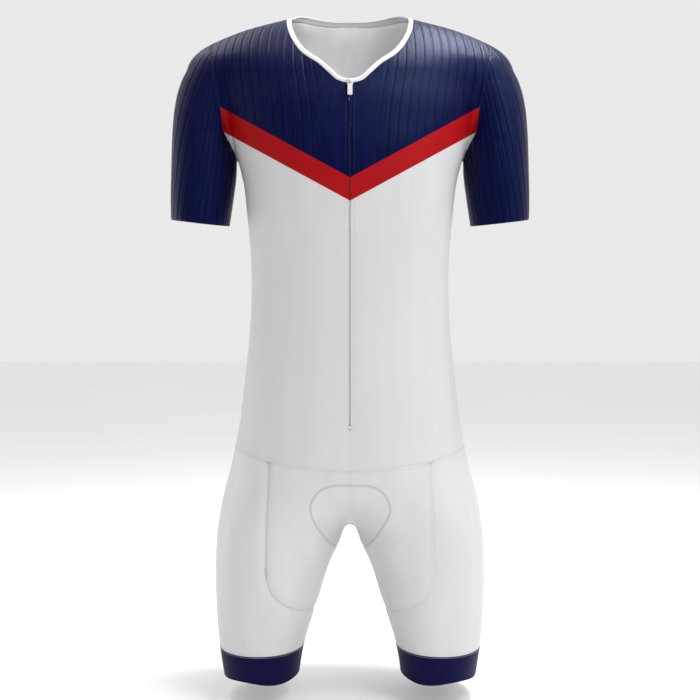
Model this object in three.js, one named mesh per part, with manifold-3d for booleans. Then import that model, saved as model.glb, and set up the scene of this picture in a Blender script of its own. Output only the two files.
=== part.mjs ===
// A short-sleeved one-piece triathlon suit, filled out as if worn, with nobody in it.
// Millimetres, +Z up, the front faces -Y, +X is the wearer's left. The origin lies on the
// mid-plane at mid-shoulder height, where the wearer's shoulders carry the suit.

import * as THREE from 'three';
import { mergeVertices } from 'three/addons/utils/BufferGeometryUtils.js';
import Module from 'manifold-3d';

const wasm = await Module();
wasm.setup();

// Driving sizes
const WALL = 1.2; // knitted cloth, drawn a little thick
const SEAM_GAP = 0.3; // between the cut edges of two pieces
const RIB_HEIGHT = 0.6; // woven-in ribs of the yoke and sleeves, over the grooves between them
const SLOT = 1.6; // between the two front edges, over the zip teeth
const BINDING_PROUD = 0.6; // neck binding over the cloth beside it
const PAD_THICK = 4; // seat pad
const PAD_CLEAR = 1.3; // seat pad to the cloth over it
const TAPE_WIDTH = 10.5;
const TAPE_THICK = 0.6;
const TEETH_HALF_WIDTH = 2.2;
const TEETH_THICK = 1.5;
const BAND_TOP = -843; // height of the seam over the leg band
const HEM = -882; // height of the leg hem
const HEM_WAVE = 2.6; // the hem dips towards the inner front and rises outside it
const CUFF = -262; // height of the cuff at its outer edge
const CUFF_FALL_IN = 0.117; // fall of the cuff for each mm towards the body
const CUFF_FALL_FRONT = 0.13; // fall of the cuff for each mm towards the front

// Numbers of cells along the seams
const QUARTER = 8; // half of a quarter of the waist; two of these are one front's ribs
const NECK_RIBS = 7;
const SHOULDER_RIBS = 9;
const SIDE_ROWS = 9;
const ARMHOLE_ROWS = 7;
const RIB_ROW = 10; // the first row of an upper panel that has ribs
const THIGH_ROWS = 6;
const CORNER_CELLS = 6;
const SLEEVE_ROWS = 9;
const NECK_CROWDING = 1.3; // above 1 the neckline's cells start short at the zip

// Cross-sections of the trunk and one leg: height, outer half-width, front, back, squareness
const TRUNK = {
  columns: ['z', 'outer', 'front', 'back', 'square'],
  rows: [
    [50, 44, 14, 56, 2.0],
    [40, 58, 4, 60, 2.0],
    [31, 70, -8, 64, 2.0],
    [17, 88, -24, 71, 2.0],
    [8, 117, -34, 76, 2.0],
    [-3, 154, -46, 83, 2.0],
    [-14, 181, -55, 89, 2.0],
    [-26, 204, -63, 95, 2.0],
    [-40, 218, -72, 100, 2.0],
    [-52, 219, -79, 104, 2.05],
    [-68, 207, -87, 108, 2.15],
    [-90, 189, -95, 113, 2.3],
    [-120, 175, -105, 117, 2.45],
    [-150, 164, -112, 119, 2.45],
    [-180, 154.5, -117, 118, 2.4],
    [-207, 147, -118, 115, 2.35],
    [-262, 140, -112, 104, 2.3],
    [-331, 134.6, -104, 92, 2.25],
    [-373, 134.6, -101, 88, 2.25],
    [-428, 138, -101, 91, 2.25],
    [-483, 144, -103, 100, 2.25],
    [-538, 151, -105, 113, 2.25],
    [-593, 162, -105, 123, 2.25],
    [-649, 176, -101, 121, 2.25],
    [-704, 183.5, -94, 103, 2.15],
    [-731, 184.2, -91, 96, 2.1],
    [-787, 183.2, -83, 84, 2.1],
    [-842, 178.7, -71, 71, 2.1],
    [-883, 172.5, -62, 62, 2.1],
    [-910, 168, -58, 58, 2.1],
  ],
};

// The inner side of one leg; above the crotch it lies across the mid-plane and is not seen
const INNER_LEG = {
  columns: ['z', 'inner'],
  rows: [
    [-520, -149],
    [-566, -146],
    [-593, -118],
    [-621, -80],
    [-649, -32],
    [-676, 2],
    [-704, 14.5],
    [-731, 27],
    [-787, 45],
    [-842, 62.4],
    [-883, 69.7],
    [-910, 72],
  ],
};

// Level sections of one sleeve
const SLEEVE = {
  columns: ['z', 'outer', 'inner', 'front', 'back'],
  rows: [
    [-8, 150, 110, 5, 35],
    [-22, 186, 100, -12, 50],
    [-40, 211, 100, -31, 62],
    [-60, 227, 108, -44, 68],
    [-85, 237, 128, -49, 70],
    [-110, 241.5, 145, -52, 69],
    [-140, 243.5, 154, -55, 65],
    [-168, 244, 157, -58, 60],
    [-200, 244, 157.3, -60, 53],
    [-235, 244, 161, -61, 45],
    [-271, 242.6, 165.6, -62, 38],
    [-300, 241, 168, -62, 32],
  ],
};

// Seams of the wearer's left half, each through a few points that are then laid on the form
const at = (x, y, z) => new THREE.Vector3(x, y, z);
const CENTRE_FRONT = [at(0, -106, -596), at(0, -105, -543), at(0, -98.8, -100.7)];
const NECK_FRONT = [
  at(0, -98.8, -100.7),
  at(6.5, -98.4, -99.8),
  at(16.4, -97.2, -96),
  at(27.3, -92.9, -85.9),
  at(40.3, -87.5, -72.8),
  at(63.4, -76.6, -54.2),
  at(80, -55.7, -24.6),
  at(86, -16, 6),
  at(86, 14, 17),
];
const NECK_BACK = [at(86, 14, 17), at(78, 40, 24), at(55, 59, 26), at(28, 66, 26), at(0, 67, 26)];
const NECK_EDGE = [
  at(0, -96.6, -94),
  at(5.4, -96.3, -93.3),
  at(13.4, -95.1, -90.2),
  at(23.4, -91.3, -80.7),
  at(36.7, -85.5, -67.3),
  at(58.3, -74.3, -48.9),
  at(73.8, -55.1, -22.4),
  at(80, -16.6, 11),
  at(79.5, 14, 24),
  at(71, 37, 30.5),
  at(50, 54, 32.5),
  at(26, 62, 32.5),
  at(0, 63.5, 32.5),
];
const SHOULDER = [at(86, 14, 17), at(120, 12, 6), at(155, 9, -5), at(187, 4, -20)];
const ARMHOLE_FRONT = [
  at(155, 5, -182),
  at(160, -23, -167.6),
  at(167, -43.9, -148.1),
  at(172.6, -52.2, -119.5),
  at(179.2, -52, -90.3),
  at(185.2, -43.1, -54.5),
  at(187.5, -21, -30),
  at(187, 4, -20),
];
const ARMHOLE_BACK = [
  at(155, 5, -182),
  at(160, 32, -168),
  at(167, 53, -148),
  at(173, 65, -120),
  at(180, 68, -90),
  at(186, 57, -54),
  at(188, 30, -27),
  at(187, 4, -20),
];
const SIDE = [
  at(157, 8, -573),
  at(151, 4, -538),
  at(144, -2, -483),
  at(138, -5, -428),
  at(134.6, -6, -340),
  at(140, -4, -262),
  at(147, -2, -207),
  at(155, 5, -182),
];
const WAIST_FRONT = [at(0, -106, -596), at(50, -103.6, -593.5), at(88, -94.2, -588.5), at(104, -87, -586)];
const WAIST_SIDE = [at(104, -87, -586), at(140, -50, -578), at(157, 8, -573)];
const HIP_SIDE = [at(157, 8, -573), at(142, 66, -568), at(102, 101, -565)];
const HIP_BACK = [at(102, 101, -565), at(55, 116, -563), at(0, 121, -562)];
const THIGH_FRONT = [at(107.5, -90.5, -728), at(106, -92.6, -680), at(104.6, -94.6, -628.6), at(104, -87, -586)];
const THIGH_BACK = [at(107.5, 96, -728), at(106, 104, -680), at(104, 108, -628), at(102, 101, -565)];
const CORNER_FRONT = [
  at(46, 0, -791),
  at(51, -30.6, -790),
  at(61.8, -57.8, -785),
  at(81.6, -77.7, -775),
  at(97.8, -86.1, -760.2),
  at(105.5, -90, -744),
  at(107.5, -90.5, -728),
];
const CORNER_BACK = CORNER_FRONT.map((p) => at(p.x, -1.03 * p.y, p.z));
const CROTCH = at(0, 8, -690);
const RISE_FRONT = [CROTCH, at(0, -45, -680), at(0, -88, -662), at(0, -102, -635), at(0, -106, -596)];
const RISE_BACK = [CROTCH, at(0, 58, -682), at(0, 98, -664), at(0, 117, -635), at(0, 121, -562)];
const INSEAM = [at(46, 0, -791), at(38, 2, -762), at(27, 4, -731), at(14, 7, -706), CROTCH];
const PAD_MIDDLE = [
  at(0, -105, -614),
  at(0, -88, -662),
  at(0, -45, -680),
  CROTCH,
  at(0, 58, -682),
  at(0, 98, -664),
  at(0, 121, -600),
];
const PAD_EDGE = [
  at(27, -104.7, -615.5),
  at(43, -103.5, -625),
  at(51, -100.8, -645),
  at(43.4, -93, -667),
  at(24, -57, -697),
  at(20, -15, -707),
  at(22, 30, -708),
  at(38, 80, -694),
  at(62, 108, -664),
  at(70, 117, -632),
  at(58, 119, -608),
  at(34, 120, -600.5),
];

// Cloth and hardware finishes
const cloth = (color) => new THREE.MeshStandardMaterial({ color, roughness: 0.75, metalness: 0 });
const NAVY = cloth(0x14144b);
const WHITE = cloth(0xe4e6ea);
const PAD_GREY = cloth(0xc9ccd2);
const ZIP_WHITE = new THREE.MeshStandardMaterial({ color: 0xf2f2f4, roughness: 0.4, metalness: 0.1 });

// The value of one named column at a height, on a smooth curve through the table's rows
function section(table, name, z) {
  const column = table.columns.indexOf(name);
  const rows = table.rows;
  const slope = (i) => (rows[i + 1][column] - rows[i][column]) / (rows[i + 1][0] - rows[i][0]);
  const span = (i) => rows[i + 1][0] - rows[i][0];
  const last = rows.length - 1;
  const height = Math.min(Math.max(z, rows[last][0]), rows[0][0]);
  let i = 0;
  while (i < last - 1 && height < rows[i + 1][0]) {
    i += 1;
  }
  const tangent = (k) => {
    if (k === 0) {
      return slope(0);
    }
    if (k === last) {
      return slope(last - 1);
    }
    return (slope(k - 1) * span(k) + slope(k) * span(k - 1)) / (span(k - 1) + span(k));
  };
  const h = span(i);
  const s = (height - rows[i][0]) / h;
  const keep = 1 - s;
  return rows[i][column] * (1 + 2 * s) * keep * keep + tangent(i) * h * s * keep * keep
    + rows[i + 1][column] * s * s * (3 - 2 * s) - tangent(i + 1) * h * s * s * keep;
}

// Distance of a point from a squared ellipse, in its own plane
function fromEllipse(x, y, left, right, front, back, square) {
  const half = (right - left) / 2;
  const deep = (back - front) / 2;
  const across = Math.abs(x - (left + right) / 2) / half;
  const along = Math.abs(y - (front + back) / 2) / deep;
  const reach = Math.max((across ** square + along ** square) ** (1 / square), 1e-6);
  const rise = Math.hypot((across / reach) ** (square - 1) / half, (along / reach) ** (square - 1) / deep);
  return (reach - 1) / rise;
}

// The lesser of two distances, with a rounded valley between them
function rounded(a, b, radius) {
  const overlap = Math.max(radius - Math.abs(a - b), 0) / radius;
  return Math.min(a, b) - (overlap * overlap * radius) / 4;
}

const CROTCH_ROUND = 23;
const ARMPIT_ROUND = 5;
const SHOULDER_ROUND = 18;
const ARM_TOP = -8;
const FAR = 1000;

// The filled-out figure of the suit: below zero inside, zero on the cloth's outer face
function figure(p) {
  const side = Math.abs(p.x);
  const outer = section(TRUNK, 'outer', p.z);
  const front = section(TRUNK, 'front', p.z);
  const back = section(TRUNK, 'back', p.z);
  const square = section(TRUNK, 'square', p.z);
  const inner = p.z > -520 ? -outer : section(INNER_LEG, 'inner', p.z);
  const near = fromEllipse(side, p.y, inner, outer, front, back, square);
  let body = near;
  if (p.z < -520) {
    const far = fromEllipse(-side, p.y, inner, outer, front, back, square);
    const blend = THREE.MathUtils.smoothstep(-p.z, 560, 640);
    body = rounded(near, far, 0.5 + CROTCH_ROUND * blend);
  }
  if (p.z > ARM_TOP || p.z < -300) {
    return rounded(body, FAR, ARMPIT_ROUND);
  }
  const value = (name) => section(SLEEVE, name, p.z);
  const arm = fromEllipse(side, p.y, value('inner'), value('outer'), value('front'), value('back'), 2.1);
  const round = ARMPIT_ROUND + (SHOULDER_ROUND - ARMPIT_ROUND) * THREE.MathUtils.smoothstep(p.z, -160, -110);
  return rounded(body, arm, round);
}

function slopeOf(p) {
  const step = 0.05;
  const along = (axis) => {
    const ahead = p.clone();
    const behind = p.clone();
    ahead[axis] += step;
    behind[axis] -= step;
    return (figure(ahead) - figure(behind)) / (2 * step);
  };
  return at(along('x'), along('y'), along('z'));
}

const outward = (p) => slopeOf(p).normalize();

// Moves a point on to the figure
function settle(point) {
  const p = point.clone();
  const stride = 12;
  for (let i = 0; i < 14; i += 1) {
    const slope = slopeOf(p);
    const move = slope.multiplyScalar(-figure(p) / Math.max(slope.lengthSq(), 0.05));
    p.add(move.clampLength(0, stride));
    if (move.length() < 0.001) {
      break;
    }
  }
  return p;
}

// A seam laid on the figure, its cells even along it or, above 1, shorter at its start
function seam(points, cells, crowding = 1) {
  const curve = new THREE.CatmullRomCurve3(points, false, 'centripetal');
  const spaced = [];
  for (let i = 0; i <= cells; i += 1) {
    spaced.push(settle(curve.getPointAt((i / cells) ** crowding)));
  }
  for (const end of [0, cells]) {
    if (points[end === 0 ? 0 : points.length - 1].x === 0) {
      spaced[end].x = 0;
    }
  }
  return spaced;
}

const chain = (...lists) => lists.reduce((all, list) => all.concat(list.slice(all.length ? 1 : 0)), []);
const turned = (list) => [...list].reverse();

// A grid of points on the figure between four seams; grid[row][column], row 0 at the bottom
function patch(bottom, right, top, left) {
  const rows = left.length - 1;
  const columns = bottom.length - 1;
  const grid = [];
  for (let j = 0; j <= rows; j += 1) {
    const v = j / rows;
    grid.push([]);
    for (let i = 0; i <= columns; i += 1) {
      const u = i / columns;
      const p = at(0, 0, 0);
      p.addScaledVector(bottom[i], 1 - v).addScaledVector(top[i], v);
      p.addScaledVector(left[j], 1 - u).addScaledVector(right[j], u);
      p.addScaledVector(bottom[0], -(1 - u) * (1 - v)).addScaledVector(bottom[columns], -u * (1 - v));
      p.addScaledVector(top[0], -(1 - u) * v).addScaledVector(top[columns], -u * v);
      const edge = i === 0 || j === 0 || i === columns || j === rows;
      grid[j].push(edge ? p : settle(p));
    }
  }
  return evened(grid, false);
}

// Evens out the inner points of a grid, each towards the middle of its four neighbours
function evened(grid, ring, sweeps = 12) {
  const rows = grid.length - 1;
  const columns = grid[0].length - 1;
  for (let sweep = 0; sweep < sweeps; sweep += 1) {
    for (let j = 1; j < rows; j += 1) {
      for (let i = ring ? 0 : 1; i < columns; i += 1) {
        const before = grid[j][i === 0 ? columns - 1 : i - 1];
        const p = before.clone().add(grid[j][i + 1]).add(grid[j - 1][i]).add(grid[j + 1][i]);
        grid[j][i] = settle(p.multiplyScalar(0.25));
      }
      if (ring) {
        grid[j][columns] = grid[j][0];
      }
    }
  }
  return grid;
}

// Moves an edge point square to its edge, towards the inside of its piece
function drawIn(p, before, after, inside, distance) {
  const along = after.clone().sub(before).normalize();
  const square = inside.clone().sub(p);
  square.addScaledVector(along, -square.dot(along)).normalize();
  return p.clone().addScaledVector(square, distance);
}

// Draws the four edges of a grid in by their own distances, with none on a ring's two sides
function trimmed(grid, { bottom = 0, right = 0, top = 0, left = 0 }, ring = false) {
  const rows = grid.length - 1;
  const columns = grid[0].length - 1;
  const out = grid.map((row) => row.map((p) => p.clone()));
  const half = (value, j) => (typeof value === 'function' ? value(j) : value);
  for (let i = 0; i <= columns; i += 1) {
    const low = Math.max(i - 1, 0);
    const high = Math.min(i + 1, columns);
    const shift = (j, inner, distance) => {
      const moved = drawIn(grid[j][i], grid[j][low], grid[j][high], grid[inner][i], distance);
      out[j][i].add(moved.sub(grid[j][i]));
    };
    shift(0, 1, bottom);
    shift(rows, rows - 1, top);
  }
  if (ring) {
    for (const j of [0, rows]) {
      out[j][columns].copy(out[j][0]);
    }
    return out;
  }
  for (let j = 0; j <= rows; j += 1) {
    const low = Math.max(j - 1, 0);
    const high = Math.min(j + 1, rows);
    const shift = (i, inner, distance) => {
      const moved = drawIn(grid[j][i], grid[low][i], grid[high][i], grid[j][inner], distance);
      out[j][i].add(moved.sub(grid[j][i]));
    };
    shift(0, 1, half(left, j));
    shift(columns, columns - 1, half(right, j));
  }
  return out;
}

const CUT = SEAM_GAP / 2;
const ALL_ROUND = { bottom: CUT, right: CUT, top: CUT, left: CUT };

// Gathers points and triangles; equal points are one
class Sheet {
  constructor() {
    this.points = [];
    this.triangles = [];
    this.known = new Map();
  }

  add(p) {
    const key = [p.x, p.y, p.z].map((value) => Math.round(value * 2000)).join(' ');
    if (!this.known.has(key)) {
      this.known.set(key, this.points.length);
      this.points.push(p);
    }
    return this.known.get(key);
  }

  // A strip between two lists of points, the second may have one more point in each cell
  strip(a, b) {
    const cells = Math.min(a.length, b.length) - 1;
    const aStep = (a.length - 1) / cells;
    const bStep = (b.length - 1) / cells;
    for (let i = 0; i < cells; i += 1) {
      const low = a.slice(i * aStep, (i + 1) * aStep + 1);
      const high = b.slice(i * bStep, (i + 1) * bStep + 1);
      if (low.length === 3 && high.length === 3) {
        this.quad(low[0], low[1], high[1], high[0]);
        this.quad(low[1], low[2], high[2], high[1]);
      } else if (low.length === 3) {
        this.face(low[0], low[1], high[0]);
        this.face(low[1], high[1], high[0]);
        this.face(low[1], low[2], high[1]);
      } else if (high.length === 3) {
        this.face(low[0], low[1], high[1]);
        this.face(low[0], high[1], high[0]);
        this.face(low[1], high[2], high[1]);
      } else {
        this.quad(low[0], low[1], high[1], high[0]);
      }
    }
  }

  quad(a, b, c, d) {
    this.face(a, b, c);
    this.face(a, c, d);
  }

  face(a, b, c) {
    const corners = [this.add(a), this.add(b), this.add(c)];
    if (new Set(corners).size === 3) {
      this.triangles.push(corners);
    }
  }

  // Six times the volume inside the sheet, below zero where its faces point inwards
  volume() {
    return this.triangles.reduce((sum, [a, b, c]) => (
      sum + this.points[a].dot(this.points[b].clone().cross(this.points[c]))
    ), 0);
  }

  geometry(mirrored = false) {
    const geometry = new THREE.BufferGeometry();
    const places = this.points.flatMap((p) => [mirrored ? -p.x : p.x, p.y, p.z]);
    const turn = this.volume() < 0 !== mirrored;
    const order = this.triangles.flatMap(([a, b, c]) => (turn ? [a, c, b] : [a, b, c]));
    geometry.setAttribute('position', new THREE.Float32BufferAttribute(places, 3));
    geometry.setIndex(order);
    geometry.computeVertexNormals();
    return geometry;
  }
}

// Each grid point with the direction out of the figure there
const withNormals = (grid) => grid.map((row) => row.map((p) => ({ p, n: outward(p) })));

const raised = (spot, lift) => spot.p.clone().addScaledVector(spot.n, lift);

// The ridge point between two neighbours, on the seam's own chord at an edge
function between(a, b) {
  return { p: a.p.clone().lerp(b.p, 0.5), n: a.n.clone().add(b.n).normalize() };
}

// Adds one grid's wall to a sheet; rim says which of its edges are cut edges
function addWall(sheet, grid, options) {
  const { lift = 0, thick = WALL, ribsFrom = Infinity, rim = ['bottom', 'right', 'top', 'left'] } = options;
  const { flatEdge = false } = options; // the ribs die out at the first row
  const spots = withNormals(grid);
  const outer = spots.map((row, j) => {
    if (j < ribsFrom) {
      return row.map((spot) => raised(spot, lift));
    }
    const line = [raised(row[0], lift)];
    const ridge = flatEdge && j === 0 ? lift : lift + RIB_HEIGHT;
    for (let i = 1; i < row.length; i += 1) {
      line.push(raised(between(row[i - 1], row[i]), ridge), raised(row[i], lift));
    }
    return line;
  });
  const inner = spots.map((row) => row.map((spot) => raised(spot, lift - thick)));
  for (let j = 1; j < outer.length; j += 1) {
    sheet.strip(outer[j - 1], outer[j]);
    sheet.strip(turned(inner[j - 1]), turned(inner[j]));
  }
  if (rim.includes('bottom')) {
    sheet.strip(inner[0], outer[0]);
  }
  if (rim.includes('top')) {
    sheet.strip(outer.at(-1), inner.at(-1));
  }
  if (rim.includes('left')) {
    sheet.strip(outer.map((row) => row[0]), inner.map((row) => row[0]));
  }
  if (rim.includes('right')) {
    sheet.strip(inner.map((row) => row.at(-1)), outer.map((row) => row.at(-1)));
  }
}

function wall(grid, options = {}) {
  const sheet = new Sheet();
  addWall(sheet, grid, options);
  return sheet;
}

// A half grid, its first column on the mid-plane, and its mirror image as one grid
function doubled(grid) {
  return grid.map((row) => {
    const mirror = turned(row.slice(1)).map((p) => at(-p.x, p.y, p.z));
    return [...mirror, ...row];
  });
}

const suit = new THREE.Group();

function addPiece(name, geometry, material, parent = suit) {
  const mesh = new THREE.Mesh(geometry, material);
  mesh.name = name;
  parent.add(mesh);
  return mesh;
}

// A piece on the wearer's left and its mirror image on the right
function addPair(name, sheet, material) {
  addPiece(`${name}_left`, sheet.geometry(false), material);
  addPiece(`${name}_right`, sheet.geometry(true), material);
}

// Seams as lists of points, shared by the pieces on both sides
const waistFront = seam(WAIST_FRONT, QUARTER);
const waistSide = seam(WAIST_SIDE, QUARTER);
const hipSide = seam(HIP_SIDE, QUARTER);
const hipBack = seam(HIP_BACK, QUARTER);
const sideSeam = seam(SIDE, SIDE_ROWS);
const armholeFront = seam(ARMHOLE_FRONT, ARMHOLE_ROWS);
const armholeBack = seam(ARMHOLE_BACK, ARMHOLE_ROWS);
const neckFront = seam(NECK_FRONT, NECK_RIBS, NECK_CROWDING);
const neckBack = seam(NECK_BACK, NECK_RIBS);
const shoulder = seam(SHOULDER, SHOULDER_RIBS);
const BELOW_ZIP = 2; // rows of the front under the zip's end

// The zip line: even rows below the zip's end and above it
function centreFront() {
  const rows = SIDE_ROWS + ARMHOLE_ROWS;
  const [foot, end, top] = CENTRE_FRONT;
  const list = [];
  for (let j = 0; j <= rows; j += 1) {
    const part = j < BELOW_ZIP ? j / BELOW_ZIP : (j - BELOW_ZIP) / (rows - BELOW_ZIP);
    const p = j < BELOW_ZIP ? foot.clone().lerp(end, part) : end.clone().lerp(top, part);
    list.push(settleUpright(p));
  }
  return list;
}

// Lays a point of the mid-plane on the figure without changing its height
function settleUpright(point) {
  const p = point.clone();
  for (let i = 0; i < 20; i += 1) {
    p.y -= figure(p) * Math.sign(slopeOf(p).y);
  }
  return p;
}

// Upper fronts, from the waist seam to the shoulder, parted by the zip
const centre = centreFront();
const frontGrid = patch(
  chain(waistFront, waistSide),
  chain(sideSeam, armholeFront),
  chain(neckFront, shoulder),
  centre,
);
const zipEdge = (j) => (j < BELOW_ZIP ? CUT : SLOT / 2);
const frontCut = trimmed(frontGrid, { ...ALL_ROUND, left: zipEdge });
addPair('front', wall(frontCut, { ribsFrom: RIB_ROW }), NAVY);

// Upper back, in one piece across the mid-plane
function backGrid() {
  const rows = SIDE_ROWS + ARMHOLE_ROWS;
  const middle = [];
  const foot = hipBack.at(-1);
  const top = neckBack.at(-1);
  for (let j = 0; j <= rows; j += 1) {
    const p = foot.clone().lerp(top, j / rows);
    p.y = 110;
    middle.push(j === 0 ? foot : j === rows ? top : settleUpright(p));
  }
  return patch(
    turned(chain(hipSide, hipBack)),
    chain(sideSeam, armholeBack),
    chain(turned(neckBack), shoulder),
    middle,
  );
}
const backCut = trimmed(doubled(backGrid()), ALL_ROUND);
addPiece('back', wall(backCut, { ribsFrom: RIB_ROW }).geometry(), NAVY);

// Sleeves: a tube from the armhole to the cuff, starting and ending at the underarm
function cuffPoint(angle) {
  const middle = at(202, -12, -268);
  let p = at(middle.x - 42 * Math.cos(angle), middle.y - 50 * Math.sin(angle), middle.z);
  for (let i = 0; i < 6; i += 1) {
    p = settle(p);
    p.z = CUFF - CUFF_FALL_IN * (242 - p.x) + CUFF_FALL_FRONT * p.y;
  }
  return p;
}

// Every other point on the chord between two of the seam's own, so that it stays in line
function halved(list) {
  return list.flatMap((p, i) => (i === 0 ? [p] : [list[i - 1].clone().lerp(p, 0.5), p]));
}

function sleeveGrid() {
  const armhole = chain(halved(armholeFront), turned(halved(armholeBack)));
  const columns = armhole.length - 1;
  const grid = [];
  for (let j = 0; j <= SLEEVE_ROWS; j += 1) {
    const v = (j / SLEEVE_ROWS) ** 1.25;
    grid.push(armhole.map((p, i) => {
      const cuff = cuffPoint((i / columns) * 2 * Math.PI);
      if (j === 0) {
        return p;
      }
      return j === SLEEVE_ROWS ? cuff : settle(p.clone().lerp(cuff, v));
    }));
  }
  return evened(grid, true, 5);
}
const sleeveCut = trimmed(sleeveGrid(), { bottom: CUT }, true);
addPair('sleeve', wall(sleeveCut, { ribsFrom: 0, flatEdge: true, rim: ['bottom', 'top'] }), NAVY);

// Shorts
const thighFront = seam(THIGH_FRONT, THIGH_ROWS);
const thighBack = seam(THIGH_BACK, THIGH_ROWS);
const cornerFront = seam(CORNER_FRONT, CORNER_CELLS);
const cornerBack = seam(CORNER_BACK, CORNER_CELLS);
cornerBack[0] = cornerFront[0];
const legRows = THIGH_ROWS + CORNER_CELLS;
const inseam = seam(INSEAM, QUARTER);
inseam[0] = cornerFront[0];
const riseFront = seam(RISE_FRONT, legRows);
const riseBack = seam(RISE_BACK, legRows);

const shortsFront = patch(
  turned(inseam),
  chain(cornerFront, thighFront),
  waistFront,
  riseFront,
);
addPair('shorts_front', wall(trimmed(shortsFront, ALL_ROUND)), WHITE);

const shortsBack = patch(
  turned(inseam),
  chain(cornerBack, thighBack),
  turned(hipBack),
  riseBack,
);
addPair('shorts_back', wall(trimmed(shortsBack, ALL_ROUND)), WHITE);

// A level ring round one leg, from the inner side forwards, with the angles of a list of points
function legRing(like, height) {
  return like.map((p) => {
    const spot = at(p.x, p.y, 0);
    for (let i = 0; i < 6; i += 1) {
      spot.z = typeof height === 'function' ? height(spot) : height;
      spot.copy(settle(spot));
    }
    spot.z = typeof height === 'function' ? height(spot) : height;
    return spot;
  });
}

// Outer thigh: a full tube low on the leg, and the outer half of it up to the waist
const thighUpper = patch(
  outerHalf(),
  thighBack,
  chain(waistSide, hipSide),
  thighFront,
);

function outerHalf() {
  const bottom = seam([
    thighFront[0],
    at(150, -70, -728),
    at(180, -30, -728),
    at(185, 3, -728),
    at(180, 34, -728),
    at(150, 74, -728),
    thighBack[0],
  ], 2 * QUARTER);
  bottom[0] = thighFront[0];
  bottom[2 * QUARTER] = thighBack[0];
  return bottom;
}

const lowerTop = chain(cornerFront, thighUpper[0], turned(cornerBack));
const legAxis = at(119, 0, 0);
const around = lowerTop.map((p, i) => {
  const angle = (i / (lowerTop.length - 1)) * 2 * Math.PI;
  return at(legAxis.x - 58 * Math.cos(angle), -68 * Math.sin(angle), 0);
});
const bandTop = legRing(around, BAND_TOP);
bandTop[bandTop.length - 1] = bandTop[0];
const hemHeight = (p) => HEM - HEM_WAVE * Math.sin((120 - p.x) / 16) * THREE.MathUtils.smoothstep(-p.y, 10, 50);
const hem = legRing(around, hemHeight);
hem[hem.length - 1] = hem[0];

const LOWER_ROWS = 3;
function tubeBetween(bottom, top, rows) {
  const grid = [];
  for (let j = 0; j <= rows; j += 1) {
    grid.push(bottom.map((p, i) => {
      if (j === 0 || j === rows) {
        return j === 0 ? p : top[i];
      }
      return settle(p.clone().lerp(top[i], j / rows));
    }));
  }
  return evened(grid, true, 6);
}

function thighSheet() {
  const lower = trimmed(tubeBetween(bandTop, lowerTop, LOWER_ROWS), { bottom: CUT }, true);
  const upper = trimmed(thighUpper, { right: CUT, top: CUT, left: CUT });
  const top = lower.at(-1);
  const drawn = trimmed(tubeBetween(bandTop, lowerTop, LOWER_ROWS), { top: CUT }, true).at(-1);
  const last = top.length - 1;
  for (let i = 0; i <= last; i += 1) {
    const inCorner = i < CORNER_CELLS || i > last - CORNER_CELLS;
    top[i].copy(inCorner ? drawn[i] : upper[0][i - CORNER_CELLS]);
  }
  const sheet = new Sheet();
  const grid = withNormals(lower);
  const outer = grid.map((row) => row.map((spot) => raised(spot, 0)));
  const inner = grid.map((row) => row.map((spot) => raised(spot, -WALL)));
  for (let j = 1; j < outer.length; j += 1) {
    sheet.strip(outer[j - 1], outer[j]);
    sheet.strip(turned(inner[j - 1]), turned(inner[j]));
  }
  sheet.strip(inner[0], outer[0]);
  const edge = (list, from, to) => list.slice(from, to + 1);
  for (const [from, to] of [[0, CORNER_CELLS], [last - CORNER_CELLS, last]]) {
    sheet.strip(edge(outer.at(-1), from, to), edge(inner.at(-1), from, to));
  }
  addWall(sheet, upper, { rim: ['right', 'top', 'left'] });
  return sheet;
}
addPair('thigh', thighSheet(), WHITE);

const bandGrid = trimmed(tubeBetween(hem, bandTop, 2), { top: CUT }, true);
addPair('leg_band', wall(bandGrid, { rim: ['bottom', 'top'] }), NAVY);

// Neck binding: one folded strip round the neck, its two ends at the zip
function bindingGrid() {
  const low = chain(neckFront, neckBack);
  const count = low.length - 1;
  const high = seam(NECK_EDGE, count);
  const half = [low, high].map((line) => line.map((p) => p.clone()));
  half.splice(1, 0, low.map((p, i) => settle(p.clone().lerp(high[i], 0.5))));
  return half.map((row) => {
    const mirror = row.slice(0, -1).map((p) => at(-p.x, p.y, p.z));
    return [...mirror, ...turned(row)];
  });
}
const bindingCut = trimmed(bindingGrid(), { bottom: CUT, left: SLOT / 2, right: SLOT / 2 });
addPiece(
  'neck_binding',
  wall(bindingCut, { lift: BINDING_PROUD, thick: WALL + BINDING_PROUD }).geometry(),
  WHITE,
);

// Seat pad, inside the crotch, from the belly to the seat
const PAD_ROWS = 16;
const padGrid = doubled(patch(
  seam([PAD_MIDDLE[0], PAD_EDGE[0]], 3),
  seam(PAD_EDGE, PAD_ROWS),
  seam([PAD_MIDDLE.at(-1), PAD_EDGE.at(-1)], 3),
  seam(PAD_MIDDLE, PAD_ROWS),
));
addPiece(
  'seat_pad',
  wall(padGrid, { lift: -WALL - PAD_CLEAR, thick: PAD_THICK }).geometry(),
  PAD_GREY,
);

// Zip: two tapes behind the front edges and the closed teeth between them
function alongEdge(rows, distance) {
  return rows.map((j) => {
    const [a, b] = withNormals([frontCut[j].slice(0, 2)])[0];
    const share = (distance - a.p.x) / (b.p.x - a.p.x);
    return { p: a.p.clone().lerp(b.p, share), n: a.n.clone().lerp(b.n, share).normalize() };
  });
}

const zipRows = Array.from({ length: frontCut.length - BELOW_ZIP }, (_, i) => i + BELOW_ZIP);

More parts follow.
